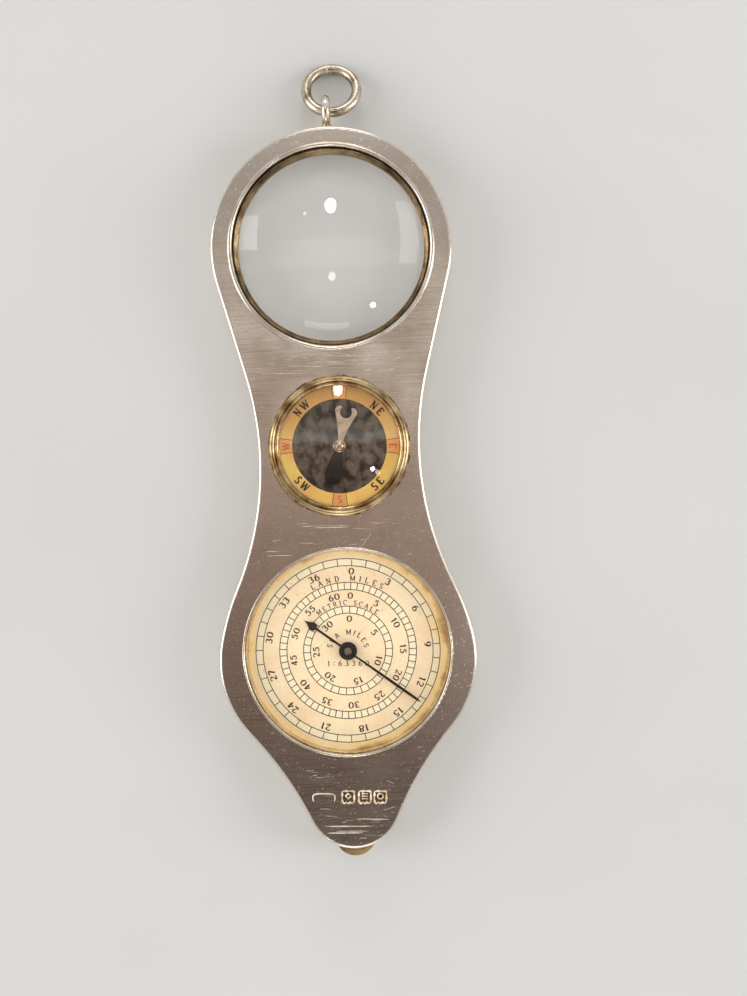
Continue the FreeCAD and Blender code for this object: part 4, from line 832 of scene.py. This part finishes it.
pointer = {
    "turn": math.radians(90 + 37.4), "middle": 5.86, "halfThick": 0.09, "squareness": 4.0, "start": 1.0,
    # half widths of the long end, the power of its swelling, and the share where its point begins
    "long": 14.25, "lancetHalf": 0.14, "lancetSwell": 0.09, "lancetPower": 1.3, "pointFrom": 0.88,
    "pointPower": 2.4,
    # the spade is widest at a share of its length; the arm runs into it as far as another share
    "short": 8.75, "armHalf": 0.19, "armTo": 0.2, "spadeFrom": 6.15, "spadeHalf": 0.70, "spadeWidest": 0.36,
    "spadePower": 1.7,
    # the hub: its section's small corners are steps from its outer foot and from the top of its bore
    "hubRadius": 1.46, "hubBore": 0.62, "hubLow": 5.6, "hubTop": 6.15, "hubRound": 0.22,
    "hubFoot": ((-0.08, 0.0), (0.0, 0.06)), "hubMouth": ((0.2, 0.0), (0.04, -0.08), (0.0, -0.2)),
}


def longEnd(steps=60):
    # a lancet: it swells slowly as a sine and runs out to a point
    t = np.linspace(0, 1, steps)
    y = pointer["start"] + (pointer["long"] - pointer["start"]) * t
    power, point = pointer["lancetPower"], pointer["pointFrom"]
    swell = pointer["lancetHalf"] + pointer["lancetSwell"] * np.sin(math.pi * t ** power / power)
    half = swell * (1 - np.clip((t - point) / (1 - point), 0, 1) ** pointer["pointPower"])
    return bar(y, half, pointer["middle"], pointer["halfThick"], squareness=pointer["squareness"])


def shortEnd(armSteps=16, spadeSteps=60):
    # a plain arm, then a spade: a quarter ellipse out to its widest place and a hollow taper, by a
    # power, to its point
    start, end, widest = pointer["spadeFrom"], pointer["short"], pointer["spadeWidest"]
    arm = np.linspace(pointer["start"], start, armSteps)[:-1]
    y = np.concatenate([arm, np.linspace(start, end, spadeSteps)])
    t = np.clip((y - start) / (end - start), 0, 1)
    swell = np.sqrt(np.clip(1 - (1 - t / widest) ** 2, 0, 1))
    taper = np.clip(1 - (t - widest) / (1 - widest), 0, 1) ** pointer["spadePower"]
    spade = pointer["spadeHalf"] * np.where(t < widest, swell, taper)
    half = np.where(t < pointer["armTo"], np.maximum(spade, pointer["armHalf"]), spade)
    return bar(-y, half, pointer["middle"], pointer["halfThick"], squareness=pointer["squareness"])


def pointerHub():
    # a bored boss, turned, with a round upper edge
    radius, bore, low, top = pointer["hubRadius"], pointer["hubBore"], pointer["hubLow"], pointer["hubTop"]
    soft = pointer["hubRound"]
    foot = [(radius + out, low + up) for out, up in pointer["hubFoot"]]
    mouth = [(bore + out, top + up) for out, up in pointer["hubMouth"]]
    edge = quarter(radius - soft, top - soft, soft, soft, steps=8)
    return turned([(bore, low)] + foot + edge + mouth, dialAxis, steps=72)


def addPointer():
    # both ends are laid out along Y and turned to where the pointer stands at rest
    points, faces = joined([longEnd(), shortEnd()])
    points = rotated(points, dialAxis, pointer["turn"])
    hand = makePiece("pointer_blade", points, faces, pointerBlack, "blackened_steel", "pointer_train")
    makePiece("pointer_hub", *pointerHub(), pointerBlack, "blackened_steel", "pointer_train")
    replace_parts(hand, "pointer_hand")


addPointer()
print("pointer: made")


# section of the compass bezel as (radius, height over the plate): foot and outer wall, bead, groove,
# then a lower round step that reaches over the glass
bezelSection = (
    (10.12, 0.0), (10.97, 0.0), (10.98, 0.36), (10.97, 0.52), (10.92, 0.68), (10.83, 0.80), (10.71, 0.87),
    (10.58, 0.88), (10.45, 0.85), (10.33, 0.77), (10.25, 0.66), (10.20, 0.52), (10.17, 0.42), (10.13, 0.38),
    (10.09, 0.42), (10.04, 0.50), (9.93, 0.55), (9.82, 0.53), (9.71, 0.46), (9.63, 0.35), (9.61, 0.26),
    (9.98, 0.25), (10.0, 0.2), (10.12, 0.2))

solder = {
    # what ran out round the foot of a bezel: axis, inner radius, mean width, how much the width wanders,
    # height, material and slot
    "rings": (("compass_solder", compassAxis, 10.95, 0.28, 0.32, 0.09, giltFoot, "gilt_brass"),
              ("lens_solder", lensAxis, 16.25, 0.12, 0.14, 0.04, lensSilver, "silver")),
    # waves in a turn that make its edge ragged, their sum's reach, and the least width
    "waves": (3, 7, 13, 22, 41, 67), "reach": 2.2, "least": 0.05,
    # lumps: a mean share of the height and a share that swings by the product of two waves
    "lumpMean": 0.75, "lumpSwing": 0.25, "lumpWaves": (57, 23),
    # its section: shares of the width, the power of its hollow, and the edge's dip into the plate
    "across": (0.0, 0.25, 0.55, 0.85, 1.0), "hollow": 1.5, "lift": 0.002, "dip": 0.004,
}


def solderRing(axis, radius, width, wander, high, steps=420):
    # a low ragged fillet: its width and height wander round the ring as sums of sines
    angle = np.linspace(0, tau, steps, endpoint=False)
    ragged = sum(np.sin(angle * k + k * k) / math.sqrt(k) for k in solder["waves"]) / solder["reach"]
    reach = np.maximum(width + wander * ragged, solder["least"])[:, None]
    one, other = (np.sin(angle * waves) for waves in solder["lumpWaves"])
    lump = (high * (solder["lumpMean"] + solder["lumpSwing"] * one * other))[:, None]
    across = np.array([solder["across"]])
    z = plateTop + lump * (1 - across) ** solder["hollow"] + solder["lift"] - solder["dip"] * across
    flat = onCircle(axis, radius + reach * across, angle[:, None])
    return np.dstack([flat, z]).reshape(-1, 3), gridFaces(steps, across.size, closeRows=True)


def addBezels():
    # the compass bezel with its fine section, and the solder round both bezels
    points, faces = turned(np.array(bezelSection) + [0, plateTop], compassAxis, steps=192)
    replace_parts(makePiece("compass_bezel_turned", points, faces, giltBezel, "gilt_brass"), "compass_bezel")
    for name, axis, radius, width, wander, high, material, slotName in solder["rings"]:
        makePiece(name, *solderRing(axis, radius, width, wander, high), material, slotName)


addBezels()
print("bezels: made")


marks = {
    "turn": math.radians(2.37), "wireRadius": 0.14, "field": 0.97, "fieldLift": 0.004,
    # the frame: half width and height, squareness, and the scallops of its foot with their depth,
    # which grow from `footFrom` of its height over `footBlend`
    "half": (0.94, 0.86), "squareness": 10.0, "scallops": 3, "scallop": 0.22,
    "footFrom": 0.85, "footBlend": 0.1,
    # how much the rim swells, the points in a wave, and what shifts the wave from frame to frame
    "uneven": 0.35, "wave": 23, "shift": 9,
    # centre of each frame, and the plain figure inside it
    "frames": (((-0.90, -22.98), "lozenge"), ((1.74, -23.09), "bars"), ((4.21, -23.20), "ring")),
    # the figures: three leaning bars, or a closed line whose power makes it round or pointed
    "figureShare": 0.9, "barHeights": (-0.32, 0.08, 0.48), "barHalf": 0.5, "barFall": 0.06,
    "lineHalf": (0.44, 0.42), "lineLift": 0.06, "linePower": {"ring": 1.0, "lozenge": 1.9},
    # the worn rim: an arc of a squarish ellipse between two angles, and its radius at the ends and midway
    "worn": {"centre": (-4.77, -23.1), "wide": 1.75, "high": 0.72, "from": 215, "to": -30, "power": 0.5,
             "endShare": 0.25, "midShare": 0.6, "lean": 0.8, "fullness": 0.6},
}


def squareFrame(grow=1.0, steps=144):
    # a rounded square, the superellipse |x/a|^n + |y/b|^n = 1 by its polar angle, whose foot has
    # scallops, the half waves of a sine
    t = np.linspace(0, tau, steps, endpoint=False)
    a, b, n = *marks["half"], marks["squareness"]
    reach = (np.abs(np.cos(t) / a) ** n + np.abs(np.sin(t) / b) ** n) ** (-1 / n)
    x, y = reach * np.cos(t), reach * np.sin(t)
    foot = np.clip((-y / b - marks["footFrom"]) / marks["footBlend"], 0, 1)
    y -= marks["scallop"] * foot * np.abs(np.sin(marks["scallops"] / 2 * math.pi * (x / a + 1)))
    return flatSheet(np.column_stack([x, y]) * grow, 0.0)


def unevenWire(path, radius, closed=False):
    # struck unevenly: the wire swells and thins as a sine along its length
    waves = np.arange(len(path)) * tau / marks["wave"] + path[0][0] * marks["shift"]
    return wire(path, radius * (1 + marks["uneven"] * np.sin(waves)), closed)


def figureWires(figure, barSteps=16, lineSteps=36):
    # three bars, or one closed line: the superellipse of the figure's power, by its angle
    radius, half = marks["wireRadius"] * marks["figureShare"], marks["barHalf"]
    if figure == "bars":
        return [unevenWire(np.linspace((-half, y, 0), (half, y - marks["barFall"], 0), barSteps), radius)
                for y in marks["barHeights"]]
    t = np.linspace(0, tau, lineSteps, endpoint=False)
    line = np.column_stack([signedPower(np.cos(t), marks["linePower"][figure]),
                            signedPower(np.sin(t), marks["linePower"][figure])])
    line = line * marks["lineHalf"] + [0, marks["lineLift"]]
    return [unevenWire(flatSheet(line, 0.0), radius, closed=True)]


def wornRim(steps=40):
    # what is left of one more frame: thin at its ends, fuller before its middle
    worn = marks["worn"]
    t = np.linspace(0, 1, steps)
    angle = np.radians(worn["from"] + (worn["to"] - worn["from"]) * t)
    x = worn["wide"] * signedPower(np.cos(angle), worn["power"])
    y = worn["high"] * signedPower(np.sin(angle), worn["power"])
    full = np.sin(math.pi * t ** worn["lean"]) ** worn["fullness"]
    return wire(flatSheet(np.column_stack([x, y]), 0.0),
                marks["wireRadius"] * (worn["endShare"] + worn["midShare"] * full))


def addMarks():
    # punched marks at the tip: plain frames with a plain figure each, and the worn rim of one more;
    # each frame's field is a fan of triangles round its centre
    parts, fields = [], []
    for centre, figure in marks["frames"]:
        own = [unevenWire(squareFrame(), marks["wireRadius"], closed=True)] + figureWires(figure)
        parts += [(rotated(points, centre, marks["turn"]), faces) for points, faces in own]
        rim = rotated(squareFrame(marks["field"]), centre, marks["turn"])
        first, middle = np.arange(len(rim)), np.full(len(rim), len(rim))
        fields.append((np.vstack([rim, [*centre, 0]]),
                       np.stack([first, np.roll(first, -1), middle, middle], axis=-1)))
    points, faces = wornRim()
    parts.append((rotated(points, marks["worn"]["centre"], marks["turn"]), faces))
    points, faces = joined(parts)
    makePiece("punched_marks", points + [0, 0, plateTop], faces, punchedSilver, "silver")
    points, faces = joined(fields)
    makePiece("punched_fields", points + [0, 0, plateTop + marks["fieldLift"]], faces, punchedField, "silver")


addMarks()
print("marks: made")


scratches = {
    "seed": 7,
    # the long ones: ends and radius in millimetres, their raised burr half sunk in the plate
    "long": (
        (0.1, -26.6, 5.4, -26.9, 0.055), (-4.9, -27.6, 2.8, -27.9, 0.075), (-4.5, -28.7, 1.3, -28.9, 0.085),
        (-3.2, -28.45, 2.0, -28.65, 0.045), (0.6, -29.7, 1.8, -29.75, 0.035),
        (-5.6, -24.8, -3.7, -24.9, 0.03), (4.6, -25.4, 6.6, -24.9, 0.035),
        (-6.4, -19.4, -5.7, -19.4, 0.03), (5.2, -20.6, 6.6, -21.3, 0.035),
        (-12.3, 15.8, -8.0, 15.7, 0.03), (-6.9, 17.6, -4.5, 17.5, 0.03), (-12.4, 16.5, -10.2, 16.4, 0.03),
        (2.3, 15.9, 4.6, 18.9, 0.02), (-7.6, 45.6, -1.5, 45.3, 0.03), (-3.0, 46.1, 1.4, 45.9, 0.035),
        (-7.0, 20.3, 1.6, 20.1, 0.025), (-4.7, 19.95, 1.05, 19.85, 0.05), (-12.6, 44.6, -4.8, 44.4, 0.025),
        (-2.0, 47.0, 2.6, 46.8, 0.03)),
    # the fine ones: half width and ends of a zone, how many, longest
    "zones": ((10.5, 44.3, 47.2, 30, 3.5), (11.0, 16.9, 21.0, 18, 3.0), (8.5, -21.5, -17.6, 10, 2.0),
              (6.0, -26.0, -21.5, 10, 2.0), (4.6, -30.0, -26.0, 14, 2.4)),
    # least share of the longest before it is squared, how they lean, and how far they may leave a zone
    "fineShare": 0.25, "fineRadius": (0.010, 0.024), "lean": 0.10, "over": 0.3,
    # all of them: the bow, and the radius at the ends and how soon it is full
    "bow": 0.01, "endShare": 0.15, "fullness": 0.3,
}


def scratchWire(start, end, radius, steps=9):
    # thin at both ends, with a slight bow: both follow half a wave of a sine
    t = np.linspace(0, 1, steps)[:, None]
    wave = np.sin(math.pi * t)
    path = np.array(start) * (1 - t) + np.array(end) * t + [0, scratches["bow"]] * wave
    least = scratches["endShare"]
    taper = radius * (least + (1 - least) * wave[:, 0] ** scratches["fullness"])
    return wire(flatSheet(path, plateTop), taper, steps=6)


def addScratches():
    # the long ones where they are given, the fine ones by chance within their zones
    chance = np.random.default_rng(scratches["seed"])
    parts = [scratchWire((x0, y0), (x1, y1), radius) for x0, y0, x1, y1, radius in scratches["long"]]
    for wide, low, high, count, longest in scratches["zones"]:
        for number in range(count):
            x, y = chance.uniform(-wide, wide), chance.uniform(low, high)
            half = chance.uniform(scratches["fineShare"], 1) ** 2 * longest / 2
            lean = chance.normal(0, scratches["lean"])
            reach = min(half, wide - abs(x) + scratches["over"])
            step = np.array([math.cos(lean), math.sin(lean)]) * reach
            parts.append(scratchWire((x, y) - step, (x, y) + step, chance.uniform(*scratches["fineRadius"])))
    makePiece("plate_scratches", *joined(parts), punchedSilver, "silver")


addScratches()
print("scratches: made")


studio = {
    "floor": "#dad9d6", "floorPatch": "#d5d4d1", "floorSize": 3.0, "floorGrain": 60.0,
    "floorMask": (0.3, 0.7), "floorRough": 0.9, "floorSpecular": 0.2,
    "surround": "#dbdcde", "surroundStrength": 0.94,
    # the ceiling that the polished plate shows: places on a ramp along +Y, from 0 to 1, and shades
    "ceiling": ((0.12, "#4c4137"), (0.205, "#54473e"), (0.235, "#0e0a08"), (0.27, "#4f3a31"),
                (0.35, "#69422b"), (0.45, "#a8948a"), (0.505, "#985f30"), (0.55, "#fbf5ee"),
                (0.59, "#fffaf4"), (0.64, "#c8b7a6"), (0.72, "#6f6d6e")),
    # the share of +Y at the ramp's ends, and how steep a direction has to be to meet the ceiling
    "ceilingSpan": 0.45, "ceilingEdge": (0.87, 0.95),
    # name, place, size, power and outline; all are aimed at one point and have one neutral white
    "lamps": (
        ("key_lamp", (-0.014, 0.415, 0.87), (0.062, 0.085), 0.30, "ELLIPSE"),
        ("left_softbox", (-0.80, 0.05, 0.42), (0.60, 0.60), 3.15, "RECTANGLE"),
        ("right_strip", (0.75, 0.0, 0.36), (0.30, 0.60), 2.25, "RECTANGLE"),
        ("front_softbox", (0.0, -0.80, 0.40), (0.50, 0.30), 1.4, "RECTANGLE"),
        ("back_softbox", (0.05, 0.85, 0.36), (0.40, 0.22), 1.0, "RECTANGLE"),
        ("small_lamp", (0.138, -0.075, 0.62), (0.022, 0.022), 0.05, "ELLIPSE"),
    ),
    "aim": (0, 0.03, 0), "white": "#fffefc",
}


def addFloor():
    # one square under the part, matt, with faint large patches
    corners = np.array([[-1, -1], [1, -1], [1, 1], [-1, 1]]) * studio["floorSize"] / 2
    material, tree = newMaterial("studio_floor_matt")
    cloud = grain(tree, studio["floorGrain"], detail=3.0)
    mask = addNode(tree, "MapRange", stretch(cloud, *studio["floorMask"]))
    tone = addNode(tree, "Mix", {0: mask, 6: studio["floor"], 7: studio["floorPatch"]}, **shades)
    finishMaterial(tree, {"Base Color": tone, "Roughness": studio["floorRough"],
                          "Specular IOR Level": studio["floorSpecular"]})
    mesh = bpy.data.meshes.new("studio_floor")
    mesh.from_pydata(flatSheet(corners, 0.0).tolist(), [], [(0, 1, 2, 3)])
    mesh.materials.append(material)
    floor = bpy.data.objects.new("studio_floor", mesh)
    bpy.context.scene.collection.objects.link(floor)


def addLamps():
    # soft area lamps round the part and one small one, all turned to the aim
    for name, spot, size, power, outline in studio["lamps"]:
        lamp = bpy.data.lights.new(name, "AREA")
        lamp.shape = outline
        lamp.size, lamp.size_y = size
        lamp.energy = power
        lamp.color = colour(studio["white"])[:3]
        thing = bpy.data.objects.new(name, lamp)
        thing.location = spot
        thing.rotation_mode = "QUATERNION"
        thing.rotation_quaternion = (Vector(studio["aim"]) - Vector(spot)).to_track_quat("-Z", "Y")
        bpy.context.scene.collection.objects.link(thing)


def addWorld():
    # a pale room under a ceiling of brown, grey and light bands that follow one another along +Y
    world = bpy.data.worlds.new("pale_room")
    bpy.context.scene.world = world
    world.use_nodes = True
    tree = world.node_tree
    tree.nodes.clear()
    direction = addNode(tree, "TexCoord", {}, out="Generated")
    ahead = addNode(tree, "SeparateXYZ", {0: direction}, out="Y")
    upward = addNode(tree, "SeparateXYZ", {0: direction}, out="Z")
    span = studio["ceilingSpan"]
    ceiling = addNode(tree, "ValToRGB", {0: addNode(tree, "MapRange", stretch(ahead, -span, span))})
    stops = ceiling.node.color_ramp.elements
    while len(stops) < len(studio["ceiling"]):
        stops.new(0.5)  # moved to its own place below
    for stop, (place, shade) in zip(stops, studio["ceiling"]):
        stop.position = place
        stop.color = colour(shade)
    overhead = addNode(tree, "MapRange", stretch(upward, *studio["ceilingEdge"]))
    tone = addNode(tree, "Mix", {0: overhead, 6: studio["surround"], 7: ceiling}, **shades)
    sky = addNode(tree, "Background", {0: tone, 1: studio["surroundStrength"]})
    addNode(tree, "OutputWorld", {0: sky})


camera = {
    "lens": 54.2, "target": (0.00507, 0.02427, 0.0075), "distance": 0.237, "clip": (0.01, 20.0),
    "roll": math.radians(-2.37), "tilt": math.radians(-1.6),
}


def addCamera():
    # it stands `distance` from its target and looks down at it, tilted about X and rolled about Z
    data = bpy.data.cameras.new("camera")
    data.lens = camera["lens"]
    data.clip_start, data.clip_end = camera["clip"]
    thing = bpy.data.objects.new("camera", data)
    turn = Matrix.Rotation(camera["roll"], 4, "Z") @ Matrix.Rotation(camera["tilt"], 4, "X")
    back = turn.to_3x3() @ Vector((0, 0, 1))
    thing.matrix_world = Matrix.Translation(Vector(camera["target"]) + back * camera["distance"]) @ turn
    bpy.context.scene.collection.objects.link(thing)
    bpy.context.scene.camera = thing


addFloor()
addLamps()
addWorld()
addCamera()
bpy.context.scene.view_settings.view_transform = "Standard"
print("studio: ready")
